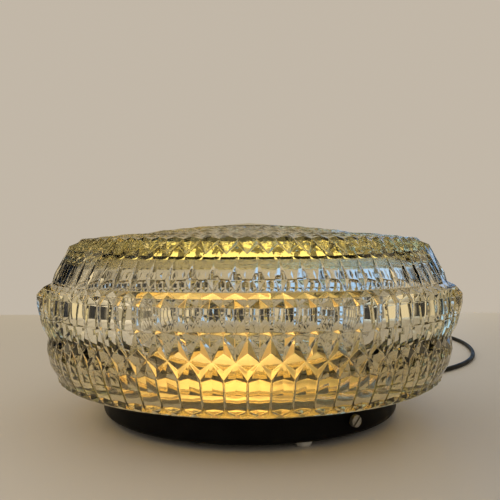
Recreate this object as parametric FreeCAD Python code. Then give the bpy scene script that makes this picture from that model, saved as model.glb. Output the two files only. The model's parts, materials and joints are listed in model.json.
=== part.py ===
"""Pressed-glass table lamp: a faceted glass dish, dome up, on a black steel pan with an E27 lampholder.

Millimetres. Z is up, and the origin is the middle of the plane that the feet stand on.
An azimuth is counted in degrees from the front, which is -Y, towards +X.
"""

import FreeCAD, Part
import math
import os

from FreeCAD import Vector

# Feet and pan
foot_height = 3.5
foot_radius = 5.0
foot_inset = 9.1
foot_azimuths = (19.5, 139.5, 259.5)
pan_radius = 98.5
pan_wall = 1.0
pan_corner = 4.0
pan_height = 20.5
trim_thick = 1.0
trim_lip = 3.0
seat_gap = 0.1

# Glass shade: every ring is an inset from the shoulder and a rise above the underside of the rim
ribs = 72
first_rib = 2.0
shoulder_radius = 140.0
neck_clearance = 4.4
neck_wall = 4.5
neck_cord_gap = 0.3
neck_fillet = 5.4
rim_inset = 17.5
crown_rise = 101.4
crown_slope = 0.11
crown_rounding = 15.0
shade_wall = 6.0
peak_lift = 1.3
fine_insets = (28.0, 40.5, 53.0, 65.0)
coarse_insets = (67.5, 79.0, 91.0, 103.0, 115.0)
button_edge = 2.0
button_rise = 0.8
button_point = 2.0
kite_half_width = 2.95
kite_lift = 1.1
valley_half_width = 0.19
groove_half_width = 0.09
bead_half_width = 0.4

# Retaining screws and their nuts
screw_azimuths = (36.3, 156.3, 276.3)
screw_above_neck_edge = 0.8
screw_radius = 2.0
screw_head_radius = 3.5
screw_head_height = 2.6
screw_standoff = 0.9
screw_length = 6.0
screw_clearance = 0.15
slot_width = 1.0
slot_depth = 1.2
slot_tilt = 45.0
nut_width = 7.0
nut_thick = 3.2
nut_bore_clearance = 0.05

# Lamp: a 45 mm globe bulb that lies along the line from the cord's entry to the middle
lamp_azimuth = 125.0
globe_place = -16.0
globe_radius = 22.5
globe_wall = 0.9
globe_clearance = 6.0
bulb_neck_radius = 11.6
bulb_cap_start = 28.0
bulb_cap_radius = 13.1
bulb_cap_length = 18.0
bulb_insulator_length = 3.0
bulb_contact_radius = 4.6
bulb_contact_thick = 1.4
thread_pitch = 3.63
sleeve_clearance = 0.25
sheet = 0.4
skirt_radius = 19.5
skirt_wall = 2.2
skirt_start = 21.0
skirt_mouth = 5.0
skirt_step = 1.0
skirt_gap = 0.6
core_length = 9.0
core_recess = 2.0
contact_gap = 0.3
contact_thick = 0.5
terminal_place = 9.0
terminal_width = 4.0
terminal_length = 4.5
cap_length = 20.0
cap_wall = 2.0
cap_boss_wall = 2.0
cap_boss_length = 6.0
nipple_radius = 5.0
nipple_bore = 3.6
nipple_length = 12.0
nipple_reach = 7.0
thread_play = 0.05
bracket_thick = 1.5
bracket_width = 18.0
bracket_foot = 20.0
rivet_radius = 2.0
rivet_spacing = 10.0
hex_flats = 14.0
hex_thick = 3.0

# Cord
cord_diameter = 4.0
wire_diameter = 1.9
cord_above_corner = 0.1
bushing_length = 22.0
clamp_inset = 16.5
clamp_length = 8.0
clamp_wall = 1.6
clamp_end = 3.5
clamp_screw_radius = 1.5
clamp_head_radius = 2.85
clamp_head_gap = 0.05
clamp_hump_wall = 1.4
clamp_hump_fillet = 1.2
cross_width = 0.7
bushing_collar = 2.2
bushing_collar_thick = 1.4
bushing_end_wall = 0.7
floor_gap = 0.05
coil_outer = 32.5
coil_gap = 0.6
coil_turns = 3.5
coil_lift = 1.0
tie_thick = 0.7
tie_width = 6.0
tie_slack = 0.6

# Switch in the cord
switch_middle = (88.0, 397.0)
switch_length = 60.0
switch_width = 24.0
switch_half_height = 8.0
switch_wall = 1.8
switch_corner = 5.0
rocker_length = 19.6
rocker_width = 10.0
rocker_rise = 1.6
rocker_hollow = 1.0
rocker_gap = 0.4
ear_thick = 1.6
ear_gap = 0.5
cord_in_switch = 5.0
blade_place = 9.0
blade_thick = 0.6
rocker_pivot_height = 12.6
rocker_tilt = 10.0
pivot_radius = 1.0
post_radius = 2.8
post_place = (22.0, 7.2)
post_screw_radius = 1.25

# Plug
plug_turn = 12.0
plug_height = 7.0
plug_sleeve_length = 20.0
plug_body_length = 24.0
plug_width = 26.0
plug_thick = 13.6
plug_neck = (12.0, 9.6)
plug_shoulder = 9.0
plug_sleeve_wall = (0.6, 2.2)
pin_radius = 2.0
pin_spacing = 18.6
pin_length = 19.0
pin_root_length = 10.0
pin_root_step = 0.15

# Places that follow from the sizes above
floor_bottom = foot_height
floor_top = floor_bottom + pan_wall
pan_top = floor_bottom + pan_height
rim_height = pan_top + trim_thick + seat_gap
pan_inside = pan_radius - pan_wall
foot_place = pan_radius - foot_inset
neck_radius = pan_inside - neck_clearance
neck_inside = neck_radius - neck_wall
lamp_height = floor_top + globe_clearance + globe_radius
cord_radius = cord_diameter / 2
cord_floor = cord_radius + floor_gap
cord_entry_height = floor_bottom + pan_corner + cord_above_corner + cord_radius
neck_bottom = cord_entry_height + cord_radius + neck_cord_gap
screw_height = neck_bottom + screw_above_neck_edge
clamp_place = pan_inside - clamp_inset
clamp_screw_place = cord_radius + clamp_wall + clamp_head_gap + clamp_head_radius
clamp_width = 2 * (clamp_screw_place + clamp_end)
coil_pitch = cord_diameter + coil_gap
coil_rise = coil_pitch
lamp_turn = lamp_azimuth - 90.0
cap_end = bulb_cap_start + bulb_cap_length
contact_end = cap_end + bulb_insulator_length + bulb_contact_thick
sleeve_radius = skirt_radius - skirt_step
sleeve_inside = sleeve_radius - skirt_wall
core_start = contact_end + 1.3
core_end = core_start + core_length
holder_end = core_start + cap_length
bracket_place = holder_end + globe_place

Z = Vector(0, 0, 1)
ORIGIN = Vector(0, 0, 0)


def save(shape, node):
    """Write one node and print what it holds."""
    shape.exportStep("parts/" + node + ".step")
    solids = shape.Solids
    print(node, len(solids), "solids", round(sum(solid.Volume for solid in solids), 1), shape.isValid())


def profile(start, *moves):
    """Closed face in the XZ plane: a move is a point for a line, or a pair of points for an arc."""
    return Part.Face(outline(start, *moves, start))


def outline(start, *moves):
    """Wire in the XZ plane, from (radius, height) points: a pair of points is an arc through the first."""
    edges = []
    here = Vector(start[0], 0, start[1])
    for move in moves:
        if isinstance(move[0], tuple):
            through = Vector(move[0][0], 0, move[0][1])
            there = Vector(move[1][0], 0, move[1][1])
            edges.append(Part.Arc(here, through, there).toShape())
        else:
            there = Vector(move[0], 0, move[1])
            edges.append(Part.LineSegment(here, there).toShape())
        here = there
    return Part.Wire(edges)


def turned(start, *moves):
    """Solid of revolution about Z."""
    return profile(start, *moves).revolve(ORIGIN, Z, 360)


def rod(radius, length, base, direction):
    return Part.makeCylinder(radius, length, Vector(*base), Vector(*direction))


def block(low, high):
    """Box between two corners."""
    size = Vector(*high) - Vector(*low)
    return Part.makeBox(size.x, size.y, size.z, Vector(*low))


def swung(shape, azimuth):
    """A shape built along +X, turned to an azimuth."""
    result = shape.copy()
    result.rotate(ORIGIN, Z, azimuth - 90.0)
    return result


def on_lamp_axis(shape):
    """A shape built about Z from the middle of the globe, laid along the lamp's axis."""
    result = shape.copy()
    result.rotate(ORIGIN, Vector(0, 1, 0), 90)
    result.translate(Vector(globe_place, 0, lamp_height))
    return swung(result, lamp_azimuth)


def in_switch(shape):
    """A shape built about the switch's own middle, moved to its place in the cord."""
    result = shape.copy()
    result.translate(Vector(switch_middle[0], switch_middle[1], 0))
    return result


def unit(vector):
    return Vector(vector).normalize()


def corner_arc(start, corner, end):
    """Arc from one side of a corner to the other, its ends equally far from it, and the arc's radius."""
    into = unit(corner - start)
    out = unit(end - corner)
    half = into.getAngle(out) / 2
    radius = (corner - start).Length / math.tan(half)
    inward = unit(out - into)
    through = corner + inward * (radius / math.cos(half) - radius)
    return Part.Arc(start, through, end).toShape(), radius


def flexible(name, points, diameter):
    """Round lead along straight runs and tangent arcs, each arc as large as its two runs allow."""
    route = [Vector(*point) for point in points]
    edges = []
    radii = []
    here = route[0]
    for before, corner, after in zip(route, route[1:], route[2:]):
        reach = 0.45 * min((corner - before).Length, (after - corner).Length)
        start = corner - unit(corner - before) * reach
        end = corner + unit(after - corner) * reach
        arc, radius = corner_arc(start, corner, end)
        edges.append(Part.LineSegment(here, start).toShape())
        edges.append(arc)
        radii.append(round(radius, 1))
        here = end
    edges.append(Part.LineSegment(here, route[-1]).toShape())
    return swept(name, edges, route[1] - route[0], diameter, radii)


def swept(name, edges, direction, diameter, radii):
    """Tube along tangent edges, with its volume compared with section times length."""
    path = Part.Wire(edges)
    start = edges[0].valueAt(edges[0].FirstParameter)
    section = Part.Wire([Part.makeCircle(diameter / 2, start, direction)])
    tube = path.makePipeShell([section], True, False)
    ideal = math.pi * diameter ** 2 / 4 * path.Length
    print(name, "length", round(path.Length, 1), "least radius", min(radii), "volume ratio",
          round(tube.Volume / ideal, 4))
    return tube


# Glass shade: one planar facet at a time, ribs x cells round the axis

def ring(inset, rise):
    """Radius and height of a ring of the shade."""
    return shoulder_radius - inset, rim_height + rise


def around(column, radius, height):
    """Point of the shade: even columns are the ribs, and odd ones lie halfway between them."""
    turn = math.radians(first_rib + (column % (2 * ribs)) * 180.0 / ribs)
    return Vector(radius * math.sin(turn), -radius * math.cos(turn), height)


def facet(*points):
    return Part.Face(Part.makePolygon(list(points) + [points[0]]))


def crown(radius):
    """Height over a radius of the dome, a shallow cone rounded at its middle."""
    return rim_height + crown_rise - crown_slope * (math.hypot(radius, crown_rounding) - crown_rounding)


top_ring = ring(17.8, 82.7)
top_peak = ring(20.2, 87.4)
kite_top = 80.7
kite_middle = 69.9
middle_ring = ring(9.2, 63.7)
arch_side = ring(6.4, 60.9)
arch_ridge = ring(3.7, 61.1)
flute_levels = (56.9, 50.9)
flute_ridge = ring(0.0, 56.9)
flute_valley = ring(4.6, 56.9)
ridge_end = ring(1.3, 44.9)
valley_end = ring(5.6, 44.9)
tongue_tip = ring(5.6, 43.2)
ridge_foot = ring(3.0, 37.9)
notch_ring = ring(7.3, 29.9)
recess = ring(8.2, 34.4)
hanging_point = ring(6.2, 26.1)
skirt_ridge = (ring(6.1, 21.9), ring(8.1, 13.5), ring(12.4, 5.9))
skirt_edge = (ring(6.7, 20.3), ring(9.0, 13.1), ring(13.3, 4.8))
skirt_groove = (ring(7.1, 21.1), ring(10.1, 13.1), ring(14.1, 4.5))
bead = ring(12.6, 3.1)
lip = ring(15.7, 1.1)
rim = ring(rim_inset, 0.0)
lining_floor = ring(22.0, 5.9)
lining_corner = (ring(15.4, 9.0), ring(13.0, 16.9))
lining_side = (ring(12.0, 36.0), ring(13.5, 53.0))
lining_slope_end = ring(20.5, 70.9)
lining_shoulder = ring(25.5, 80.4)
lining_crown_radius = shoulder_radius - 36.0
lining_round_radius = 30.0


def diamond_rings(radii, step):
    """Rings of four-sided points on the dome. The net lies on the crown, and a peak stands in each mesh."""
    faces = []
    for turn in range(2 * ribs // (2 * step)):
        for level, radius in enumerate(radii):
            column = 1 + 2 * step * turn + step * (level % 2 + 1)
            left = around(column - step, radius, crown(radius))
            right = around(column + step, radius, crown(radius))
            if level > 0:
                outer = around(column, radii[level - 1], crown(radii[level - 1]))
            if level < len(radii) - 1:
                inner = around(column, radii[level + 1], crown(radii[level + 1]))
            if level == 0:
                faces.append(facet(left, right, inner))
            elif level == len(radii) - 1:
                faces.append(facet(left, right, outer))
            else:
                peak = around(column, radius, crown(radius) + peak_lift)
                for first, second in ((outer, left), (left, inner), (inner, right), (right, outer)):
                    faces.append(facet(first, second, peak))
    return faces


def dome_facets():
    """The dome: a fine zone of one mesh to a rib, a coarse zone of half as many, and a pointed button."""
    fine = [shoulder_radius - inset for inset in fine_insets]
    coarse = [shoulder_radius - inset for inset in coarse_insets]
    faces = []
    for rib in range(ribs):
        column = 2 * rib
        tip = around(column, fine[0], crown(fine[0]))
        net = (around(column - 1, *chord(top_ring)), around(column, *top_ring),
               around(column + 1, *chord(top_ring)), tip)
        peak = around(column, *top_peak)
        for first, second in zip(net, net[1:] + net[:1]):
            faces.append(facet(first, second, peak))
        between = column + 1
        foot = around(between, *chord(top_ring))
        following = around(between + 1, fine[0], crown(fine[0]))
        inner = around(between, fine[1], crown(fine[1]))
        peak = around(between, fine[0], crown(fine[0]) + peak_lift)
        for first, second in ((foot, tip), (tip, inner), (inner, following), (following, foot)):
            faces.append(facet(first, second, peak))
        for level in (1, 2):
            middle = column + (level + 1) % 2
            outer = around(middle, fine[level - 1], crown(fine[level - 1]))
            inner = around(middle, fine[level + 1], crown(fine[level + 1]))
            left = around(middle - 1, fine[level], crown(fine[level]))
            right = around(middle + 1, fine[level], crown(fine[level]))
            peak = around(middle, fine[level], crown(fine[level]) + peak_lift)
            for first, second in ((outer, left), (left, inner), (inner, right), (right, outer)):
                faces.append(facet(first, second, peak))
        last = [around(between + side, fine[3], crown(fine[3])) for side in (0, 2)]
        faces.append(facet(last[0], last[1], around(between + 1, fine[2], crown(fine[2]))))
    for pair in range(ribs // 2):
        column = 1 + 4 * pair
        outer = [around(column + side, fine[3], crown(fine[3])) for side in (0, 2, 4)]
        inner = [around(column + side, coarse[0], crown(coarse[0])) for side in (0, 4)]
        faces.append(facet(outer[0], outer[1], inner[0]))
        faces.append(facet(outer[1], inner[1], inner[0]))
        faces.append(facet(outer[1], outer[2], inner[1]))
    faces += diamond_rings(coarse, 2)
    button_radius = coarse[-1] - button_edge
    button_height = crown(coarse[-1]) + button_rise
    point = Vector(0, 0, button_height + button_point)
    for pair in range(ribs // 2):
        edge = [around(1 + 4 * (pair + side), coarse[-1], crown(coarse[-1])) for side in (0, 1)]
        top = [around(1 + 4 * (pair + side), button_radius, button_height) for side in (1, 0)]
        faces.append(facet(*edge, *top))
        faces.append(facet(*top, point))
    return faces


def chord(place):
    """Middle of the straight line between two ribs, where both are at this radius and height."""
    return place[0] * math.cos(math.pi / ribs), place[1]


def on_upper_rib(rise):
    """Point of the upper band's rib line at a rise above the rim."""
    share = (rise + rim_height - top_ring[1]) / (middle_ring[1] - top_ring[1])
    return top_ring[0] + share * (middle_ring[0] - top_ring[0]), rise + rim_height


def upper_band_facets(column):
    """A flat panel between two ribs, and the folded kite on the first of them."""
    here = around(column, *on_upper_rib(kite_middle))
    sides = []
    for neighbour in (column + 2, column - 2):
        along = unit(around(neighbour, *on_upper_rib(kite_middle)) - here)
        sides.append(here + along * kite_half_width)
    following = around(column + 2, *on_upper_rib(kite_middle))
    far_side = following + unit(here - following) * kite_half_width
    top = around(column, *on_upper_rib(kite_top))
    bottom = around(column, *middle_ring)
    radius, height = on_upper_rib(kite_middle)
    peak = around(column, radius + kite_lift, height)
    panel = facet(around(column, *top_ring), around(column + 1, *chord(top_ring)),
                  around(column + 2, *top_ring), around(column + 2, *on_upper_rib(kite_top)), far_side,
                  around(column + 2, *middle_ring), bottom, sides[0], top)
    kite = [facet(end, side, peak) for end in (top, bottom) for side in sides]
    return [panel] + kite


def middle_band_facets(column):
    """Flutes between ribs, under small hanging triangles and over recessed standing ones."""
    low_ridge = (flute_ridge[0], rim_height + flute_levels[1])
    low_valley = (flute_valley[0], rim_height + flute_levels[1])
    faces = []
    for side in (1, -1):
        edge = column + side * (1 - valley_half_width)
        middle = column + side
        faces.append(facet(around(column, *middle_ring), around(middle, *arch_side),
                           around(column, *arch_ridge)))
        faces.append(facet(around(column, *arch_ridge), around(middle, *arch_side),
                           around(edge, *flute_valley)))
        faces.append(facet(around(column, *arch_ridge), around(edge, *flute_valley),
                           around(column, *flute_ridge)))
        faces.append(facet(around(column, *flute_ridge), around(edge, *flute_valley),
                           around(edge, *low_valley), around(column, *low_ridge)))
        faces.append(facet(around(column, *low_ridge), around(edge, *low_valley),
                           around(edge, *valley_end)))
        faces.append(facet(around(column, *low_ridge), around(edge, *valley_end),
                           around(column, *ridge_end)))
        faces.append(facet(around(column, *ridge_end), around(edge, *valley_end),
                           around(middle, *tongue_tip)))
        faces.append(facet(around(column, *ridge_end), around(middle, *tongue_tip),
                           around(column, *ridge_foot)))
        faces.append(facet(around(column, *ridge_foot), around(middle, *tongue_tip),
                           around(column, *notch_ring)))
    left = column + 1 - valley_half_width
    right = column + 1 + valley_half_width
    corner = around(column + 1, *arch_side)
    faces.append(facet(around(column, *middle_ring), around(column + 2, *middle_ring), corner))
    faces.append(facet(corner, around(left, *flute_valley), around(right, *flute_valley)))
    for upper, lower in ((flute_valley, low_valley), (low_valley, valley_end)):
        faces.append(facet(around(left, *upper), around(right, *upper),
                           around(right, *lower), around(left, *lower)))
    tip = around(column + 1, *tongue_tip)
    faces.append(facet(around(left, *valley_end), around(right, *valley_end), tip))
    bottom = around(column + 1, *recess)
    first = around(column, *notch_ring)
    second = around(column + 2, *notch_ring)
    faces += [facet(tip, first, bottom), facet(tip, second, bottom), facet(first, second, bottom)]
    return faces


def lower_band_facets(column):
    """Convex panels on the ribs, a groove between them under a hanging triangle, and a beaded lip."""
    faces = []
    for side in (1, -1):
        edge = column + side * (1 - groove_half_width)
        middle = column + side
        bead_edge = column + side * bead_half_width
        first = around(column, *notch_ring)
        faces.append(facet(first, around(column, *skirt_ridge[0]), around(edge, *skirt_edge[0])))
        faces.append(facet(first, around(edge, *skirt_edge[0]), around(middle, *skirt_groove[0])))
        for level in (0, 1):
            ridge = [around(column, *place) for place in skirt_ridge[level:level + 2]]
            shoulder = [around(edge, *place) for place in skirt_edge[level:level + 2]]
            groove = [around(middle, *place) for place in skirt_groove[level:level + 2]]
            faces.append(facet(ridge[0], shoulder[0], shoulder[1]))
            faces.append(facet(ridge[0], shoulder[1], ridge[1]))
            faces.append(facet(shoulder[0], groove[0], groove[1]))
            faces.append(facet(shoulder[0], groove[1], shoulder[1]))
        pearl = around(column, *bead)
        end = around(edge, *skirt_edge[2])
        groove_end = around(middle, *skirt_groove[2])
        faces.append(facet(around(column, *skirt_ridge[2]), end, pearl))
        faces.append(facet(pearl, end, around(bead_edge, *lip)))
        faces.append(facet(pearl, around(bead_edge, *lip), around(column, *lip)))
        faces.append(facet(end, groove_end, around(middle, *lip)))
        faces.append(facet(end, around(middle, *lip), around(bead_edge, *lip)))
        for near, far in ((column, bead_edge), (bead_edge, middle)):
            faces.append(facet(around(near, *lip), around(far, *lip), around(far, *rim), around(near, *rim)))
    first = around(column, *notch_ring)
    second = around(column + 2, *notch_ring)
    tip = around(column + 1, *skirt_groove[0])
    peak = around(column + 1, *hanging_point)
    faces += [facet(first, second, peak), facet(first, tip, peak), facet(second, tip, peak)]
    return faces


def crown_lining():
    """Inside of the dome as an arc and its end: level at the middle, as steep as the dome at its start."""
    edge = crown(lining_crown_radius) - shade_wall
    start = crown(lining_round_radius) - shade_wall
    slope = math.atan2(start - edge, lining_crown_radius - lining_round_radius)
    rounding = lining_round_radius / math.sin(slope)
    top = start + rounding * (1 - math.cos(slope))
    half = lining_round_radius / 2
    return (half, top - rounding + math.sqrt(rounding ** 2 - half ** 2)), (0.0, top)


def shade_lining():
    """The neck that stands in the pan, and the smooth inside of the shade, as one open revolved wall."""
    diagonal = math.sqrt(0.5)
    floor = lining_floor[1]
    wire = outline(
        (neck_radius, rim_height),
        (neck_radius, neck_bottom),
        (neck_inside, neck_bottom),
        (neck_inside, floor - neck_fillet),
        ((neck_inside + neck_fillet * (1 - diagonal), floor - neck_fillet * (1 - diagonal)),
         (neck_inside + neck_fillet, floor)),
        lining_floor,
        lining_corner,
        lining_side,
        lining_slope_end,
        (lining_shoulder, (lining_crown_radius, crown(lining_crown_radius) - shade_wall)),
        (lining_round_radius, crown(lining_round_radius) - shade_wall),
        crown_lining(),
    )
    return wire.revolve(ORIGIN, Z, 360).Faces


def shade_underside():
    """Flat ring from the faceted rim in to the neck."""
    corners = []
    for rib in range(ribs):
        for offset in (0, bead_half_width, 1, 2 - bead_half_width):
            corners.append(around(2 * rib + offset, *rim))
    hole = Part.Face(Part.Wire([Part.makeCircle(neck_radius, Vector(0, 0, rim_height))]))
    return facet(*corners).cut(hole).Faces[0]


def glass_shade():
    faces = dome_facets()
    for rib in range(ribs):
        column = 2 * rib
        faces += upper_band_facets(column)
        faces += middle_band_facets(column)
        faces += lower_band_facets(column)
    faces.append(shade_underside())
    faces += shade_lining()
    skin = Part.makeCompound(faces)
    skin.sewShape(0.0001)
    shade = Part.Solid(skin.Shells[0])
    if shade.Volume < 0:
        shade.reverse()
    print("glass_shade closed", skin.Shells[0].isClosed(), "shells", len(skin.Shells), "faces", len(faces))
    return shade


# Pan, feet and retaining screws

def base_pan():
    """Pressed steel pan with holes for three retaining screws, the cord, two rivets and two clamp screws."""
    inner_corner = pan_corner - pan_wall
    outer_start = pan_radius - pan_corner
    diagonal = math.sqrt(0.5)
    pan = turned(
        (0, floor_bottom),
        (outer_start, floor_bottom),
        ((outer_start + pan_corner * diagonal, floor_bottom + pan_corner * (1 - diagonal)),
         (pan_radius, floor_bottom + pan_corner)),
        (pan_radius, pan_top),
        (pan_inside, pan_top),
        (pan_inside, floor_bottom + pan_corner),
        ((outer_start + inner_corner * diagonal, floor_top + inner_corner * (1 - diagonal)),
         (outer_start, floor_top)),
        (0, floor_top),
    )
    cuts = []
    for azimuth in screw_azimuths:
        hole = rod(screw_radius + screw_clearance, 10, (pan_inside - 4, 0, screw_height), (1, 0, 0))
        cuts.append(swung(hole, azimuth))
    cord_hole = rod(cord_radius + 0.6, 10, (pan_inside - 4, 0, cord_entry_height), (1, 0, 0))
    cuts.append(swung(cord_hole, lamp_azimuth))
    for place, radius in fixing_places():
        cuts.append(swung(rod(radius, 10, (place[0], place[1], floor_bottom - 4), (0, 0, 1)), lamp_azimuth))
    return pan.cut(Part.makeCompound(cuts))


def fixing_places():
    """Holes in the floor of the pan, in the lamp's own line: rivets of the bracket, screws of the clamp."""
    rivet_line = bracket_place + bracket_foot - 6.0
    holes = [((rivet_line, side * rivet_spacing / 2), rivet_radius) for side in (1, -1)]
    holes += [((clamp_place, side * clamp_screw_place), clamp_screw_radius) for side in (1, -1)]
    return holes


def edge_trim():
    """Rubber ring on the edge of the pan, with a lip down its inside: the glass sits on it."""
    return turned((pan_inside - 1.5, pan_top - trim_lip), (pan_inside, pan_top - trim_lip),
                  (pan_inside, pan_top), (pan_radius, pan_top), (pan_radius, pan_top + trim_thick),
                  (pan_inside - 1.5, pan_top + trim_thick))


def bumper_feet():
    """Three domed self-adhesive feet, flat where they stand."""
    foot = turned((0, 0), (foot_radius - 1.6, 0),
                  ((foot_radius - 0.5, foot_height * 0.3), (foot_radius, foot_height)), (0, foot_height))
    foot.translate(Vector(foot_place, 0, 0))
    return Part.makeCompound([swung(foot, azimuth) for azimuth in foot_azimuths])


def retaining_screw(azimuth):
    """Slotted cheese-head screw whose tip stops just clear of the neck of the glass."""
    under_head = pan_radius + screw_standoff
    tip = under_head - screw_length
    top = under_head + screw_head_height
    edge = 0.4
    body = turned((0, tip), (screw_radius - 0.6, tip), (screw_radius, tip + 0.6), (screw_radius, under_head),
                  (screw_head_radius, under_head), (screw_head_radius, top - edge),
                  ((screw_head_radius - 0.1, top - 0.1), (screw_head_radius - edge, top)), (0, top))
    slot = block((-slot_width / 2, -screw_head_radius - 1, top - slot_depth),
                 (slot_width / 2, screw_head_radius + 1, top + 1))
    slot.rotate(ORIGIN, Z, slot_tilt)
    screw = body.cut(slot)
    screw.rotate(ORIGIN, Vector(0, 1, 0), 90)
    screw.translate(Vector(0, 0, screw_height))
    return swung(screw, azimuth)


def clamp_nuts():
    """Square nuts welded inside the wall for the retaining screws."""
    face = math.sqrt(pan_inside ** 2 - (nut_width / 2) ** 2) - 0.02
    nut = block((face - nut_thick, -nut_width / 2, screw_height - nut_width / 2),
                (face, nut_width / 2, screw_height + nut_width / 2))
    nut = nut.cut(rod(screw_radius + nut_bore_clearance, nut_thick + 2,
                      (face - nut_thick - 1, 0, screw_height), (1, 0, 0)))
    return Part.makeCompound([swung(nut, azimuth) for azimuth in screw_azimuths])


# Bulb and lampholder, built about Z from the middle of the globe

def bulb_globe():
    """Blown globe with its neck, open where the cap is cemented on."""
    shoulder = math.radians(52)
    outer = (globe_radius * math.sin(shoulder), globe_radius * math.cos(shoulder))
    inner_radius = globe_radius - globe_wall
    inner = (inner_radius * math.sin(shoulder), inner_radius * math.cos(shoulder))
    neck_start = bulb_cap_start - 1.0
    neck_end = bulb_cap_start + 2.0
    return turned(
        (0, -globe_radius), ((globe_radius, 0), outer), (bulb_neck_radius, neck_start),
        (bulb_neck_radius, neck_end), (bulb_neck_radius - globe_wall, neck_end),
        (bulb_neck_radius - globe_wall, neck_start), inner, ((inner_radius, 0), (0, -inner_radius)))


def rolled_thread(start, radius, crest, count):
    """Outline points of a rolled thread: one arc out to each crest and back to the root."""
    moves = []
    for turn in range(count):
        height = start + turn * thread_pitch
        moves.append(((radius + crest, height + thread_pitch / 2), (radius, height + thread_pitch)))
    return moves


def bulb_cap():
    """Brass screw cap, its thread drawn as rings."""
    turns = 4
    root = bulb_cap_radius - 0.6
    thread_end = bulb_cap_start + 1.5 + turns * thread_pitch
    return turned(
        (bulb_neck_radius + 0.02, bulb_cap_start), (root, bulb_cap_start), (root, bulb_cap_start + 1.5),
        *rolled_thread(bulb_cap_start + 1.5, root, 0.6, turns),
        (root - 1.2, cap_end), (root - 1.2 - sheet, cap_end),
        (root - sheet, thread_end), (bulb_neck_radius + 0.02, thread_end - 1.0))


def bulb_insulator():
    """Dark cone between the cap and the end contact."""
    root = bulb_cap_radius - 1.8
    return turned((0, cap_end - 1.0), (root - sheet - 0.1, cap_end - 1.0), (root - sheet - 0.1, cap_end),
                  (root, cap_end), (bulb_contact_radius + 1.2, cap_end + bulb_insulator_length),
                  (0, cap_end + bulb_insulator_length))


def bulb_contact():
    start = cap_end + bulb_insulator_length
    return turned((0, start), (bulb_contact_radius, start),
                  ((bulb_contact_radius * 0.75, start + bulb_contact_thick * 0.75),
                   (bulb_contact_radius * 0.3, start + bulb_contact_thick)), (0, start + bulb_contact_thick))


def thread_sleeve():
    """Screw shell of the lampholder, clear of the bulb's cap all round."""
    inside = bulb_cap_radius + sleeve_clearance
    start = bulb_cap_start + 1.0
    turns = 4
    end = start + turns * thread_pitch + 5.0
    outer = rolled_thread(start + 1.0, inside + sheet, 0.5, turns)
    return turned((inside, start), (inside + sheet, start), (inside + sheet, start + 1.0), *outer,
                  (inside + sheet, end), (inside - 3.0, end), (inside - 3.0, end - sheet),
                  (inside, end - sheet))


def holder_skirt():
    """Outer sleeve of the lampholder, flared a little at its mouth."""
    return turned(
        (skirt_radius - skirt_wall, skirt_start), (skirt_radius, skirt_start),
        (skirt_radius, skirt_start + skirt_mouth), (sleeve_radius, skirt_start + skirt_mouth + 2.0),
        (sleeve_radius, core_start - skirt_gap), (sleeve_inside, core_start - skirt_gap),
        (sleeve_inside, skirt_start + skirt_mouth + 1.5),
        (skirt_radius - skirt_wall, skirt_start + skirt_mouth))


def holder_core():
    """Insulating disc that carries the screw shell and the contacts, with a terminal pocket on each side."""
    sleeve_end = bulb_cap_start + 6.0 + 4 * thread_pitch
    edge = sleeve_inside - 0.15
    disc = turned(
        (0, core_start + core_recess), (8.0, core_start + core_recess), (8.0, sleeve_end),
        (edge, sleeve_end), (edge, core_end), (0, core_end))
    half = terminal_width / 2 + 0.2
    depth = terminal_length + 0.5
    pockets = [block((side * terminal_place - half, -3.0, core_end - depth),
                     (side * terminal_place + half, 3.0, core_end + 1.0))
               for side in (1, -1)]
    return disc.cut(Part.makeCompound(pockets))


def holder_terminals():
    """Brass terminal with a clamping screw in each pocket of the core."""
    pieces = []
    for side in (1, -1):
        place = side * terminal_place
        half = terminal_width / 2
        seat = core_end - 0.4
        body = block((place - half, -2.8, seat - terminal_length), (place + half, 2.8, seat))
        screw = rod(1.4, 1.2, (place, 0, seat), (0, 0, 1))
        cut = block((place - 1.6, -0.25, seat + 0.7), (place + 1.6, 0.25, seat + 1.4))
        pieces.append(body.fuse(screw).cut(cut))
    return Part.makeCompound(pieces)


def centre_contact():
    """Springy brass tongue that the end contact of the bulb meets."""
    start = contact_end + contact_gap
    return block((-3.0, -2.0, start), (3.0, 2.0, start + contact_thick)).fuse(
        block((3.0 - contact_thick, -2.0, start), (3.0, 2.0, core_start + core_recess)))


def holder_cap():
    """Back cover of the lampholder, with a boss that takes the nipple."""
    outside = sleeve_radius
    bore = nipple_radius + thread_play
    boss = nipple_radius + cap_boss_wall
    start = core_start - skirt_gap
    shoulder = holder_end - cap_boss_length
    return turned(
        (outside - cap_wall, start), (outside, start), (outside, shoulder - 3.0),
        ((outside - 2.2, shoulder + 0.9), (boss + 2.0, shoulder + 2.0)), (boss, shoulder + 2.5),
        (boss, holder_end), (bore, holder_end), (bore, shoulder + 0.2),
        (boss + 1.0, shoulder),
        ((outside - cap_wall - 1.6, shoulder - 1.0), (outside - cap_wall, shoulder - 4.0)))


def threaded_nipple():
    start = holder_end - nipple_reach
    return turned((nipple_bore, start), (nipple_radius, start), (nipple_radius, start + nipple_length),
                  (nipple_bore, start + nipple_length))


def hexagon(flats, thick, bore, base):
    """Six-sided nut about Z."""
    corner = flats / math.sqrt(3)
    points = [Vector(corner * math.cos(math.radians(60 * k)), corner * math.sin(math.radians(60 * k)), base)
              for k in range(7)]
    nut = Part.Face(Part.makePolygon(points)).extrude(Vector(0, 0, thick))
    return nut.cut(Part.makeCylinder(bore, thick + 2, Vector(0, 0, base - 1)))


def nipple_nut():
    return hexagon(hex_flats, hex_thick, nipple_radius + thread_play, holder_end + bracket_thick)


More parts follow.
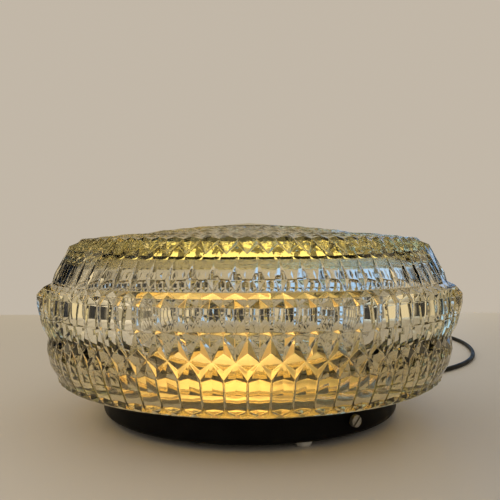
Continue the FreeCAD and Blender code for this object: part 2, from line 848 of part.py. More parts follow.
def holder_bracket():
    """Steel angle: an upright with a round top that holds the nipple, and a foot on the floor of the pan."""
    half = bracket_width / 2
    upright = block((bracket_place, -half, floor_top), (bracket_place + bracket_thick, half, lamp_height))
    head = rod(half, bracket_thick, (bracket_place, 0, lamp_height), (1, 0, 0))
    foot = block((bracket_place, -half, floor_top),
                 (bracket_place + bracket_foot, half, floor_top + bracket_thick))
    bend = Part.makeCylinder(bracket_thick * 1.5, bracket_width,
                             Vector(bracket_place + bracket_thick * 2, -half, floor_top + bracket_thick * 2),
                             Vector(0, 1, 0))
    web = block((bracket_place + bracket_thick, -half, floor_top + bracket_thick),
                (bracket_place + bracket_thick * 2, half, floor_top + bracket_thick * 2)).cut(bend)
    holes = [rod(nipple_radius + thread_play, bracket_thick + 2, (bracket_place - 1, 0, lamp_height),
                 (1, 0, 0))]
    for place, radius in fixing_places()[:2]:
        holes.append(rod(radius, bracket_thick + 2, (place[0], place[1], floor_top - 1), (0, 0, 1)))
    angle = upright.fuse([head, foot, web]).cut(Part.makeCompound(holes))
    return swung(angle.removeSplitter(), lamp_azimuth)


def bracket_rivets():
    """Two domed rivets through the foot of the bracket and the floor of the pan."""
    rivets = []
    reach = floor_top + bracket_thick
    for place, radius in fixing_places()[:2]:
        rivet = turned((0, floor_bottom - 1.0), (radius * 1.3, floor_bottom - 0.9),
                       (radius * 1.7, floor_bottom), (radius, floor_bottom), (radius, reach),
                       (radius * 1.7, reach), (radius * 1.3, reach + 0.9), (0, reach + 1.0))
        rivet.translate(Vector(place[0], place[1], 0))
        rivets.append(swung(rivet, lamp_azimuth))
    return Part.makeCompound(rivets)


# Cord entry

def cord_bushing():
    """Moulded strain relief: a groove that snaps into the wall of the pan, a flange and a tapered tail."""
    wall_in = pan_inside - 0.25
    wall_out = pan_radius + 0.05
    hole = cord_radius + 0.5
    collar = hole + bushing_collar
    tip = pan_radius + bushing_length
    body = turned(
        (0, wall_in - 1.4), (hole + 0.4, wall_in - 1.4), (hole + 0.9, wall_in), (hole, wall_in),
        (hole, wall_out), (collar, wall_out), (collar, wall_out + bushing_collar_thick),
        (collar - 1.0, wall_out + bushing_collar_thick + 1.0),
        (cord_radius + bushing_end_wall, tip), (0, tip))
    grooves = []
    for k in range(4):
        place = wall_out + 6.0 + 3.4 * k
        grooves.append(block((-1.6, -6, place), (1.6, 6, place + 1.3)))
    slots = []
    for k, groove in enumerate(grooves):
        for side in (1, -1):
            slot = groove.copy()
            slot.translate(Vector(side * (cord_radius + 1.0 + 1.6), 0, 0))
            if k % 2:
                slot.rotate(ORIGIN, Z, 90)
            slots.append(slot)
    body = body.cut(Part.makeCompound(slots))
    body.rotate(ORIGIN, Vector(0, 1, 0), 90)
    body.translate(Vector(0, 0, cord_entry_height))
    return swung(body, lamp_azimuth)


def tail_end():
    """Where the sheath of the cord is cut back inside the pan."""
    return clamp_place - clamp_length / 2 - 2.0


def cord_tail():
    """Sheathed cord from the bushing through the clamp."""
    start = pan_inside - 1.65
    tail = rod(cord_radius, start - tail_end(), (tail_end(), 0, cord_entry_height), (1, 0, 0))
    return swung(tail, lamp_azimuth)


def supply_wires():
    """Two insulated wires that rise from the sheath into the nipple and end at the holder's terminals."""
    end = core_end + globe_place + 1.6
    mouth = holder_end - nipple_reach + nipple_length + globe_place
    low = tail_end() - 0.02
    wires = []
    for side in (1, -1):
        offset = side * (wire_diameter / 2 + 0.1)
        route = [(low, cord_entry_height), (low - 5.0, cord_entry_height + 0.5),
                 (low - 8.6, cord_entry_height + 5.0), (low - 9.8, lamp_height - 12.0),
                 (mouth + 4.0, lamp_height - 5.6), (mouth + 0.5, lamp_height - 0.6),
                 (mouth - 6.5, lamp_height - 0.2), (0.5 * (mouth - 6.5 + end), lamp_height + 0.1),
                 (end, lamp_height)]
        points = [(place, offset, height) for place, height in route]
        wires.append(swung(flexible("supply wire", points, wire_diameter), lamp_azimuth))
    return Part.makeCompound(wires)


def clamp_parts():
    """Pad under the cord, bar over it, and two screws down into the floor of the pan."""
    half_length = clamp_length / 2
    half_width = clamp_width / 2
    split = cord_entry_height - cord_radius
    top = cord_entry_height + cord_radius + clamp_hump_wall
    groove = rod(cord_radius + 0.02, clamp_length + 2,
                 (clamp_place - half_length - 1, 0, cord_entry_height), (1, 0, 0))
    pad = block((clamp_place - half_length, -half_width, floor_top),
                (clamp_place + half_length, half_width, split - 0.02))
    seat = split + clamp_wall
    ears = block((clamp_place - half_length, -half_width, split),
                 (clamp_place + half_length, half_width, seat))
    hump = block((clamp_place - half_length, -cord_radius - clamp_wall, split),
                 (clamp_place + half_length, cord_radius + clamp_wall, top))
    crest = [edge for edge in hump.Edges
             if edge.CenterOfMass.z > top - 0.01 and abs(edge.CenterOfMass.y) > cord_radius]
    hump = hump.makeFillet(clamp_hump_fillet, crest)
    bar = ears.fuse(hump).cut(groove)
    screws = []
    for place, radius in fixing_places()[2:]:
        hole = rod(radius + 0.05, 30, (place[0], place[1], floor_bottom - 5), (0, 0, 1))
        pad = pad.cut(hole)
        bar = bar.cut(hole)
        screw = turned((0, floor_bottom - 0.4), (radius - 0.02, floor_bottom - 0.4), (radius - 0.02, seat),
                       (clamp_head_radius, seat), (clamp_head_radius, seat + 1.0), (radius * 1.2, seat + 1.6),
                       (0, seat + 1.6))
        cross = block((-radius * 1.5, -cross_width / 2, seat + 0.8),
                      (radius * 1.5, cross_width / 2, seat + 2))
        screw = screw.cut(cross)
        screw.translate(Vector(place[0], place[1], 0))
        screws.append(swung(screw, lamp_azimuth))
    return swung(pad, lamp_azimuth), swung(bar, lamp_azimuth), Part.makeCompound(screws)


# Cord outside the lamp: points chosen by hand, in the order of the lead

def lead_route():
    """From the bushing down to the table, out to the right and round behind the shade to the switch."""
    turn = math.radians(lamp_turn)
    out = [(pan_radius + bushing_length, cord_entry_height), (134.5, cord_entry_height), (151.0, 6.4),
           (170.0, 2.9), (191.0, cord_floor)]
    points = [(place * math.cos(turn), place * math.sin(turn), height) for place, height in out]
    points += [(180.6, 129.2, cord_floor), (204.0, 158.0, cord_floor), (221.0, 191.0, cord_floor),
               (232.5, 227.0, cord_floor), (239.5, 264.0, cord_floor), (241.5, 300.0, cord_floor),
               (237.0, 334.0, cord_floor), (222.0, 363.0, cord_floor), (199.0, 384.0, cord_floor),
               (171.0, 395.0, 3.0), (150.0, 397.5, 5.6), (134.0, 397.0, switch_half_height),
               (switch_middle[0] + switch_length / 2 - cord_in_switch, switch_middle[1], switch_half_height)]
    return points


def coil_middle():
    """Middle of the coil, which the link meets at its side away from the lamp."""
    return Vector(6.0, 395.0 - coil_outer, coil_lift + cord_radius)


def link_route():
    """From the switch down to the start of the coil."""
    start = switch_middle[0] - switch_length / 2 + cord_in_switch
    middle = coil_middle()
    return [(start, switch_middle[1], switch_half_height),
            (start - 16.0, switch_middle[1], switch_half_height), (34.0, 396.2, 6.0),
            (22.0, 395.0, middle.z), (middle.x + cord_diameter, 395.0, middle.z)]


def coil_point(turn):
    """The lead's centre line after so many turns: in at a steady rate, up in half a turn, and out again."""
    middle = coil_middle()
    height = middle.z
    if turn < coil_turns:
        radius = coil_outer - coil_pitch * turn
    elif turn < coil_turns + 0.5:
        share = turn - coil_turns
        radius = coil_outer - coil_pitch * (coil_turns + share - 2 * share ** 2)
        height += coil_rise * (1 - math.cos(2 * math.pi * share)) / 2
    else:
        radius = coil_outer - coil_pitch * (2 * coil_turns + 0.5 - turn)
        height += coil_rise
    angle = math.radians(90) + 2 * math.pi * turn
    return Vector(middle.x + radius * math.cos(angle), middle.y + radius * math.sin(angle), height)


def coil_direction(turn):
    step = 0.0005
    whole = 2 * coil_turns + 0.5
    before = coil_point(max(turn - step, 0.0))
    after = coil_point(min(turn + step, whole))
    return unit(after - before)


def biarc(start, start_direction, end, end_direction):
    """Two arcs that meet tangentially between two points with given directions."""
    chord_line = end - start
    both = start_direction + end_direction
    bend = 2 * (1 - start_direction.dot(end_direction))
    push = chord_line.dot(both)
    reach = (math.sqrt(push ** 2 + bend * chord_line.dot(chord_line)) - push) / bend
    first_corner = start + start_direction * reach
    last_corner = end - end_direction * reach
    joint = (first_corner + last_corner) * 0.5
    first, first_radius = corner_arc(start, first_corner, joint)
    last, last_radius = corner_arc(joint, last_corner, end)
    return [first, last], [round(first_radius, 1), round(last_radius, 1)]


def cord_coil():
    """Two layers of turns on biarcs of a quarter turn, with a straight end of one diameter at each side."""
    whole = 2 * coil_turns + 0.5
    quarters = int(round(whole * 4))
    start = coil_point(0.0)
    lead_in = Vector(-1, 0, 0)
    lead_out = Vector(1, 0, 0)
    places = [coil_point(whole * k / quarters) for k in range(quarters + 1)]
    headings = [coil_direction(whole * k / quarters) for k in range(quarters + 1)]
    headings[0] = lead_in
    headings[-1] = lead_out
    edges = [Part.LineSegment(start - lead_in * cord_diameter, start).toShape()]
    radii = []
    for k in range(quarters):
        arcs, sizes = biarc(places[k], headings[k], places[k + 1], headings[k + 1])
        edges += arcs
        radii += sizes
    edges.append(Part.LineSegment(places[-1], places[-1] + lead_out * cord_diameter).toShape())
    print("coil least gap to itself", round(least_gap(edges), 2))
    return swept("cord_coil", edges, lead_in, cord_diameter, radii)


def least_gap(edges):
    """Least clear distance between turns, measured on points along the centre line."""
    points = []
    travelled = []
    distance = 0.0
    for edge in edges:
        count = max(int(edge.Length / 1.5), 1)
        for point in edge.discretize(count + 1)[:-1]:
            points.append(point)
            travelled.append(distance)
            distance += edge.Length / count
    least = 1000.0
    for k, point in enumerate(points):
        for j in range(k + 1, len(points)):
            if travelled[j] - travelled[k] > 5 * cord_diameter:
                least = min(least, (points[j] - point).Length)
    return least - cord_diameter


def end_route():
    """From the top of the coil to the plug beside it."""
    middle = coil_middle()
    top = middle.z + coil_rise
    side = middle.y - coil_outer
    turn = math.radians(plug_turn)
    bend = (42.0, side + 1.2, plug_height + 0.02)
    return [(middle.x + cord_diameter, side, top), (26.0, side, top), bend,
            (bend[0] + 16.0 * math.cos(turn), bend[1] + 16.0 * math.sin(turn), plug_height + 0.02)]


def coil_tie():
    """Strap round all the turns at one side of the coil."""
    middle = coil_middle()
    inner = coil_outer - coil_pitch * (coil_turns - 0.25) - cord_radius - tie_slack
    outer = coil_outer - coil_pitch * 0.25 + cord_radius + 0.4
    low = tie_thick
    high = middle.z + coil_rise + cord_radius + 0.3
    band = block((-outer - tie_thick, -tie_width / 2, low - tie_thick),
                 (-inner + tie_thick, tie_width / 2, high + tie_thick))
    band = band.makeFillet(1.0, [edge for edge in band.Edges if abs(edge.tangentAt(0).y) > 0.9])
    hollow = block((-outer, -tie_width, low), (-inner, tie_width, high))
    band = band.cut(hollow)
    band.translate(Vector(middle.x, middle.y, 0))
    return band


# Switch in the cord, built about its own middle and split at the height of the cord

def rounded_bar(length, width, low, high, corner):
    """Upright block with round corners seen from above."""
    bar = block((-length / 2, -width / 2, low), (length / 2, width / 2, high))
    return bar.makeFillet(corner, [edge for edge in bar.Edges if abs(edge.tangentAt(0).z) > 0.9])


def post_points():
    return [(post_place[0], post_place[1]), (-post_place[0], -post_place[1])]


def switch_half(low, high, floor_low, floor_high):
    """One half of the switch's case with its screw posts, between two heights."""
    shell = rounded_bar(switch_length, switch_width, low, high, switch_corner)
    hollow = rounded_bar(switch_length - 2 * switch_wall, switch_width - 2 * switch_wall,
                         floor_low, floor_high, switch_corner - switch_wall)
    posts = [Part.makeCylinder(post_radius, high - low - switch_wall + 0.5,
                               Vector(x, y, max(low, floor_low - 0.5))) for x, y in post_points()]
    return shell.cut(hollow), posts


def cord_holes():
    return rod(cord_radius + 0.15, switch_length + 4, (-switch_length / 2 - 2, 0, switch_half_height),
               (1, 0, 0))


def switch_lower_shell():
    top = switch_half_height
    shell, posts = switch_half(0, top, switch_wall, top + 1)
    bottom_edges = [edge for edge in shell.Edges if edge.BoundBox.ZMax < 0.01]
    shell = shell.makeFillet(1.2, bottom_edges)
    shell = shell.fuse([post.common(block((-40, -20, 0), (40, 20, top))) for post in posts])
    cuts = [cord_holes()]
    for x, y in post_points():
        cuts.append(Part.makeCylinder(post_screw_radius + 0.15, 20, Vector(x, y, -1)))
        cuts.append(Part.makeCylinder(post_screw_radius * 1.8, 1.4, Vector(x, y, -0.1)))
    return in_switch(shell.cut(Part.makeCompound(cuts)))


def switch_upper_shell():
    low = switch_half_height
    high = 2 * switch_half_height
    shell, posts = switch_half(low, high, low - 1, high - switch_wall)
    top_edges = [edge for edge in shell.Edges if edge.BoundBox.ZMin > high - 0.01]
    shell = shell.makeFillet(1.5, top_edges)
    shell = shell.fuse([post.common(block((-40, -20, low), (40, 20, high - 1))) for post in posts])
    ears = []
    for side in (1, -1):
        near = side * (rocker_width / 2 + ear_gap)
        far = side * (rocker_width / 2 + ear_gap + ear_thick)
        ears.append(block((-2.4, min(near, far), rocker_pivot_height - 2.4),
                          (2.4, max(near, far), high - switch_wall + 0.5)))
    shell = shell.fuse(ears)
    half_window = rocker_length / 2 + 1.3
    side_window = rocker_width / 2 + rocker_gap
    window = block((-half_window, -side_window, high - switch_wall - 1), (half_window, side_window, high + 1))
    pivot = rod(pivot_radius + 0.02, 2 * rocker_width, (0, -rocker_width, rocker_pivot_height), (0, 1, 0))
    cuts = [window, pivot, cord_holes()]
    for x, y in post_points():
        cuts.append(Part.makeCylinder(post_screw_radius + 0.05, 4.5, Vector(x, y, low - 0.5)))
    return in_switch(shell.cut(Part.makeCompound(cuts)))


def switch_rocker():
    """Rocker with a hollowed top, at rest with its end towards the lamp pressed down."""
    half = rocker_length / 2
    top = 2 * switch_half_height + rocker_rise
    low = rocker_pivot_height - 0.6
    face = profile((-half, low), (-half, top - 0.5), ((-half + 0.15, top - 0.15), (-half + 0.5, top)),
                   ((0, top - rocker_hollow), (half - 0.5, top)),
                   ((half - 0.15, top - 0.15), (half, top - 0.5)),
                   (half, low), (2.6, low - 1.6), (-2.6, low - 1.6))
    rocker = face.extrude(Vector(0, rocker_width, 0))
    rocker.translate(Vector(0, -rocker_width / 2, 0))
    bore = rod(pivot_radius + 0.06, 2 * rocker_width, (0, -rocker_width, rocker_pivot_height), (0, 1, 0))
    rocker = rocker.cut(bore)
    rocker.rotate(Vector(0, 0, rocker_pivot_height), Vector(0, 1, 0), rocker_tilt)
    return in_switch(rocker)


def switch_pin():
    length = rocker_width + 2 * (ear_gap + ear_thick)
    return in_switch(rod(pivot_radius, length, (0, -length / 2, rocker_pivot_height), (0, 1, 0)))


def switch_contacts():
    """Two brass blades that stand on the floor of the case, where the switched wire is cut."""
    blades = []
    for side in (1, -1):
        near = side * blade_place
        far = side * (blade_place + blade_thick)
        blades.append(block((min(near, far), -6.0, switch_wall), (max(near, far), -0.2, 9.6)))
    return in_switch(Part.makeCompound(blades))


def switch_wires():
    """One wire straight through, and one cut at the two contacts."""
    end = switch_length / 2 - cord_in_switch
    offset = wire_diameter / 2 + 0.05
    height = switch_half_height
    cut = blade_place + blade_thick
    wires = [rod(wire_diameter / 2, 2 * end, (-end, offset, height), (1, 0, 0)),
             rod(wire_diameter / 2, end - cut, (cut, -offset, height), (1, 0, 0)),
             rod(wire_diameter / 2, end - cut, (-end, -offset, height), (1, 0, 0))]
    return in_switch(Part.makeCompound(wires))


def switch_screws():
    screws = []
    for x, y in post_points():
        head = post_screw_radius * 1.7
        screw = turned((0, 0.2), (head, 0.2), (head, 1.2), (post_screw_radius, 1.25),
                       (post_screw_radius, switch_half_height + 3.6), (0, switch_half_height + 3.9))
        screw = screw.cut(block((-head, -0.25, 0), (head, 0.25, 0.8)))
        screw.translate(Vector(x, y, 0))
        screws.append(screw)
    return in_switch(Part.makeCompound(screws))


# Plug, built along +X from the end of the cord

def at_plug(shape):
    result = shape.copy()
    end = end_route()[-1]
    result.rotate(ORIGIN, Z, plug_turn)
    result.translate(Vector(end[0], end[1], 0))
    return result


def plug_sleeve():
    """Tapered strain relief between the cord and the plug."""
    thin, thick = plug_sleeve_wall
    sleeve = turned((0, 0), (cord_radius + thin, 0), (cord_radius + thick, plug_sleeve_length),
                    (0, plug_sleeve_length))
    sleeve.rotate(ORIGIN, Vector(0, 1, 0), 90)
    sleeve.translate(Vector(0, 0, plug_height + 0.02))
    return at_plug(sleeve)


def plug_section(place, width, thick):
    """Flat six-sided section of the plug, with its side corners cut away."""
    half = width / 2
    flat = half - thick * 0.35
    tall = thick / 2
    points = [(flat, tall), (half, tall * 0.35), (half, -tall * 0.35), (flat, -tall), (-flat, -tall),
              (-half, -tall * 0.35), (-half, tall * 0.35), (-flat, tall), (flat, tall)]
    return Part.makePolygon([Vector(place, y, plug_height + z) for y, z in points])


def plug_body():
    start = plug_sleeve_length
    sections = [plug_section(start, *plug_neck),
                plug_section(start + plug_shoulder, plug_width - 3.0, plug_thick - 0.6),
                plug_section(start + plug_body_length, plug_width, plug_thick)]
    return at_plug(Part.makeLoft(sections, True, True))


def plug_pins():
    """Two round pins with a thinner insulated root and a rounded end."""
    start = plug_sleeve_length + plug_body_length
    pins = []
    for side in (1, -1):
        end = start + pin_length
        root = pin_radius - pin_root_step
        step = start + pin_root_length
        pin = turned((0, start), (root, start), (root, step), (pin_radius, step), (pin_radius, end - 1.5),
                     ((pin_radius * 0.8, end - 0.4), (pin_radius * 0.4, end)), (0, end))
        pin.rotate(ORIGIN, Vector(0, 1, 0), 90)
        pin.translate(Vector(0, side * pin_spacing / 2, plug_height))
        pins.append(at_plug(pin))
    return Part.makeCompound(pins)


def main():
    os.makedirs("parts", exist_ok=True)
    save(glass_shade(), "glass_shade")
    save(base_pan(), "base_pan")
    save(edge_trim(), "edge_trim")
    save(bumper_feet(), "bumper_feet")
    for number, azimuth in enumerate(screw_azimuths, start=1):
        save(retaining_screw(azimuth), "retaining_screw_" + str(number))
    save(clamp_nuts(), "clamp_nuts")
    lamp_pieces = {
        "bulb_globe": bulb_globe, "bulb_cap": bulb_cap, "bulb_insulator": bulb_insulator,
        "bulb_contact": bulb_contact, "thread_sleeve": thread_sleeve, "holder_skirt": holder_skirt,
        "holder_core": holder_core, "holder_terminals": holder_terminals,
        "centre_contact": centre_contact, "holder_cap": holder_cap, "threaded_nipple": threaded_nipple,
        "nipple_nut": nipple_nut,
    }
    for node, make in lamp_pieces.items():
        save(on_lamp_axis(make()), node)
    save(holder_bracket(), "holder_bracket")
    save(bracket_rivets(), "bracket_rivets")
    save(cord_bushing(), "cord_bushing")
    save(cord_tail(), "cord_tail")
    save(supply_wires(), "supply_wires")
    pad, bar, screws = clamp_parts()
    save(pad, "clamp_pad")
    save(bar, "clamp_bar")
    save(screws, "clamp_screws")
    save(flexible("cord_lead", lead_route(), cord_diameter), "cord_lead")
    save(switch_lower_shell(), "switch_lower_shell")
    save(switch_upper_shell(), "switch_upper_shell")
    save(switch_rocker(), "switch_rocker")
    save(switch_pin(), "switch_pin")
    save(switch_contacts(), "switch_contacts")
    save(switch_wires(), "switch_wires")
    save(switch_screws(), "switch_screws")
    save(flexible("cord_link", link_route(), cord_diameter), "cord_link")
    save(cord_coil(), "cord_coil")
    save(coil_tie(), "coil_tie")
    save(flexible("cord_end", end_route(), cord_diameter), "cord_end")
    save(plug_sleeve(), "plug_sleeve")
    save(plug_body(), "plug_body")
    save(plug_pins(), "plug_pins")


main()
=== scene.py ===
"""A table lamp of pressed glass: the shade's rounded facets, the lit bulb, the enamelled pan and the lead.

Metres. Z is up, -Y is the front, and the origin is the middle of the plane that the feet stand on.
The glass is laid out in millimetres, by column, radius and height: a column is half the pitch of the ribs,
counted round the axis from the front towards +X.
"""

import json
import math

import bmesh
import bpy
import numpy as np
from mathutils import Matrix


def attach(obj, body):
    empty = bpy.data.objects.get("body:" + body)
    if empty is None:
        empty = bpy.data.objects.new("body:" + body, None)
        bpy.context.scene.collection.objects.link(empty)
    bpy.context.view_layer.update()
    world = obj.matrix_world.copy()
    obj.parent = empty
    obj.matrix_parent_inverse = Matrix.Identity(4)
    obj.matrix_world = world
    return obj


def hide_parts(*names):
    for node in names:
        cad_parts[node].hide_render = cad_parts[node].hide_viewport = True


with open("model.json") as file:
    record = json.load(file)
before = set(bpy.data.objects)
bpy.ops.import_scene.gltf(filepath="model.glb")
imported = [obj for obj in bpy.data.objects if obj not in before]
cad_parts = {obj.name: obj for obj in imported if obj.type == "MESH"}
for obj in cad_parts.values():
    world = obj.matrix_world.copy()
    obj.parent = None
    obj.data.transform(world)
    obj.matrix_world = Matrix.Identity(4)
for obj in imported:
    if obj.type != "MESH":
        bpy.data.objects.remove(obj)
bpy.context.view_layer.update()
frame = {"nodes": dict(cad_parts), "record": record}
nodes = frame["nodes"]
scene = bpy.context.scene
MM = 0.001


# Camera: level with the upper band, 444 mm before the lamp's axis

SENSOR_WIDTH = 36.0
LENS = 46.24
LENS_SHIFT = (0.0014, -0.0072)
NEAREST_SEEN = 0.01
CAMERA_PLACE = (0.0, -0.4442, 0.1116)
CAMERA_ROLL = 0.28


def place_camera():
    eye = bpy.data.cameras.new("camera")
    eye.sensor_width = SENSOR_WIDTH
    eye.lens = LENS
    eye.shift_x, eye.shift_y = LENS_SHIFT
    eye.clip_start = NEAREST_SEEN
    camera = bpy.data.objects.new("camera", eye)
    camera.location = CAMERA_PLACE
    camera.rotation_euler = (math.radians(90.0), math.radians(CAMERA_ROLL), 0.0)
    scene.collection.objects.link(camera)
    scene.camera = camera


# Cord: routes in metres

CORD_DIAMETER = 0.004
CORD_ROUNDNESS = 6
CORD_STEPS = 10
LEAD_ROUTE = [
    (0.09871, 0.06912, 0.0096), (0.11018, 0.07715, 0.0096), (0.12369, 0.08661, 0.0064),
    (0.13926, 0.09751, 0.0029), (0.15646, 0.10955, 0.00205), (0.1806, 0.1292, 0.00205),
    (0.204, 0.158, 0.00205), (0.221, 0.191, 0.00205), (0.2325, 0.227, 0.00205),
    (0.2395, 0.264, 0.00205), (0.2415, 0.300, 0.00205), (0.237, 0.334, 0.00205),
    (0.222, 0.363, 0.00205), (0.199, 0.384, 0.00205), (0.171, 0.395, 0.0030),
    (0.150, 0.3975, 0.0056), (0.134, 0.397, 0.0080), (0.113, 0.397, 0.0080),
]
LINK_ROUTE = [
    (0.063, 0.397, 0.0080), (0.047, 0.397, 0.0080), (0.034, 0.3962, 0.0060),
    (0.022, 0.395, 0.0030), (0.010, 0.395, 0.0030),
]
END_ROUTE = [
    (0.010, 0.330, 0.0076), (0.026, 0.330, 0.0076), (0.042, 0.3312, 0.00702),
    (0.05765, 0.33453, 0.00702),
]
COIL_MIDDLE = (0.006, 0.3625, 0.003)
COIL_OUTER = 0.0325
COIL_PITCH = 0.0046
COIL_RISE = 0.0046
COIL_TURNS = 3.5
POINTS_PER_TURN = 24


def coil_route():
    """Centre line by turns from the far side: the radius shrinks a pitch a turn, the line climbs a layer in
    half a turn, and the radius grows again. Each point stands out by what the smooth line cuts off."""
    whole = 2 * COIL_TURNS + 0.5
    turn = (np.arange(int(whole * POINTS_PER_TURN)) + 0.5) / POINTS_PER_TURN
    share = np.clip(turn - COIL_TURNS, 0.0, 0.5)
    inward = COIL_TURNS + share - 2 * share ** 2
    inward = np.where(turn < COIL_TURNS, turn, np.where(share < 0.5, inward, whole - turn))
    radius = (COIL_OUTER - COIL_PITCH * inward) / math.cos(math.pi / POINTS_PER_TURN)
    angle = math.pi / 2 + 2 * math.pi * turn
    height = COIL_MIDDLE[2] + COIL_RISE * (1 - np.cos(2 * math.pi * share)) / 2
    points = np.stack([COIL_MIDDLE[0] + radius * np.cos(angle), COIL_MIDDLE[1] + radius * np.sin(angle),
                       height], axis=1)
    return points.tolist()


def flexible(name, route, finish):
    """Round cord: one smooth NURBS line with the route's points as its control points."""
    curve = bpy.data.curves.new(name, "CURVE")
    curve.dimensions = "3D"
    curve.bevel_depth = CORD_DIAMETER / 2
    curve.bevel_resolution = CORD_ROUNDNESS
    curve.resolution_u = CORD_STEPS
    curve.use_fill_caps = True
    spline = curve.splines.new("NURBS")
    spline.points.add(len(route) - 1)
    controls = np.ones((len(route), 4))
    controls[:, :3] = route
    spline.points.foreach_set("co", controls.ravel())
    spline.order_u = 3
    spline.use_endpoint_u = True
    curve.materials.append(finish)
    cord = bpy.data.objects.new(name, curve)
    scene.collection.objects.link(cord)
    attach(cord, "base")
    return cord


def lay_cords(finish):
    """The lead from the pan to the switch, and the coiled stretch from the switch to the plug."""
    lead = flexible("lamp_lead", LEAD_ROUTE, finish)
    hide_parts("cord_lead")
    coiled = flexible("coiled_lead", LINK_ROUTE + coil_route() + END_ROUTE, finish)
    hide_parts("cord_link", "cord_coil", "cord_end")


# Nodes of a material: each of these adds one or two, and gives the socket with the result

def feed(tree, socket, value):
    """Links another socket to this one, or gives it a plain number or colour."""
    if isinstance(value, bpy.types.NodeSocket):
        tree.links.new(value, socket)
    else:
        socket.default_value = value


def rgba(colour):
    return (*colour, 1.0)


def reckoned(tree, operation, *values):
    """The result of a sum on sockets or numbers."""
    node = tree.nodes.new("ShaderNodeMath")
    node.operation = operation
    for socket, value in zip(node.inputs, values):
        feed(tree, socket, value)
    return node.outputs["Value"]


def length_of(tree, across, along):
    """The root of the sum of two squares."""
    joined = tree.nodes.new("ShaderNodeCombineXYZ")
    tree.links.new(across, joined.inputs["X"])
    tree.links.new(along, joined.inputs["Y"])
    length = tree.nodes.new("ShaderNodeVectorMath")
    length.operation = "LENGTH"
    tree.links.new(joined.outputs["Vector"], length.inputs[0])
    return length.outputs["Value"]


def stepped(tree, along, edges, low=0.0, high=1.0):
    """Goes from low to high as a value passes from the first edge to the second."""
    node = tree.nodes.new("ShaderNodeMapRange")
    for label, value in (("From Min", edges[0]), ("From Max", edges[1]), ("To Min", low), ("To Max", high)):
        node.inputs[label].default_value = value
    tree.links.new(along, node.inputs["Value"])
    return node.outputs["Result"]


def mixed(tree, kind, share, before, after):
    """Two colours or two numbers, mixed by a share from 0 to 1."""
    node = tree.nodes.new("ShaderNodeMix")
    node.data_type = kind
    first, result = {"RGBA": (6, 2), "FLOAT": (2, 0)}[kind]
    feed(tree, node.inputs["Factor"], share)
    feed(tree, node.inputs[first], before)
    feed(tree, node.inputs[first + 1], after)
    return node.outputs[result]


def turned_to(tree, along, edges, before, after):
    """The colour before, which turns to another one as a value passes from one edge to the other."""
    return mixed(tree, "RGBA", stepped(tree, along, edges), before, rgba(after))


def noise(tree, where, scale, detail):
    node = tree.nodes.new("ShaderNodeTexNoise")
    tree.links.new(where, node.inputs["Vector"])
    feed(tree, node.inputs["Scale"], scale)
    node.inputs["Detail"].default_value = detail
    return node.outputs["Fac"]


def bumped(tree, height, depth, normal=None):
    """The normal on a surface raised by a height from 0 to 1 times a depth, over an earlier normal."""
    node = tree.nodes.new("ShaderNodeBump")
    feed(tree, node.inputs["Distance"], depth)
    tree.links.new(height, node.inputs["Height"])
    if normal:
        tree.links.new(normal, node.inputs["Normal"])
    return node.outputs["Normal"]


def own_place(tree):
    """The place on the object, whole and by axis."""
    where = tree.nodes.new("ShaderNodeTexCoord").outputs["Object"]
    axes = tree.nodes.new("ShaderNodeSeparateXYZ")
    tree.links.new(where, axes.inputs["Vector"])
    return where, axes.outputs


def new_material(name):
    material = bpy.data.materials.new(name)
    material.use_nodes = True
    return material, material.node_tree, material.node_tree.nodes["Principled BSDF"]


def let_lamps_through(tree, shader, tint):
    """Shadow rays pass the surface, in this tint, so a lamp behind it shines through."""
    clear = tree.nodes.new("ShaderNodeBsdfTransparent")
    clear.inputs["Color"].default_value = rgba(tint)
    path = tree.nodes.new("ShaderNodeLightPath")
    either = tree.nodes.new("ShaderNodeMixShader")
    tree.links.new(path.outputs["Is Shadow Ray"], either.inputs["Fac"])
    tree.links.new(shader.outputs["BSDF"], either.inputs[1])
    tree.links.new(clear.outputs["BSDF"], either.inputs[2])
    tree.links.new(either.outputs["Shader"], tree.nodes["Material Output"].inputs["Surface"])


# Opaque finishes: one group gives every surface its patches, its roughness and its grain

SURFACE_INPUTS = ("Color", "Patch Color", "Patch Scale", "Roughness", "Patch Roughness", "Grain Scale",
                  "Grain Depth")
PATCH_EDGES = (0.42, 0.62)
PATCH_DETAIL = 5.0
FINE_DETAIL = 2.0

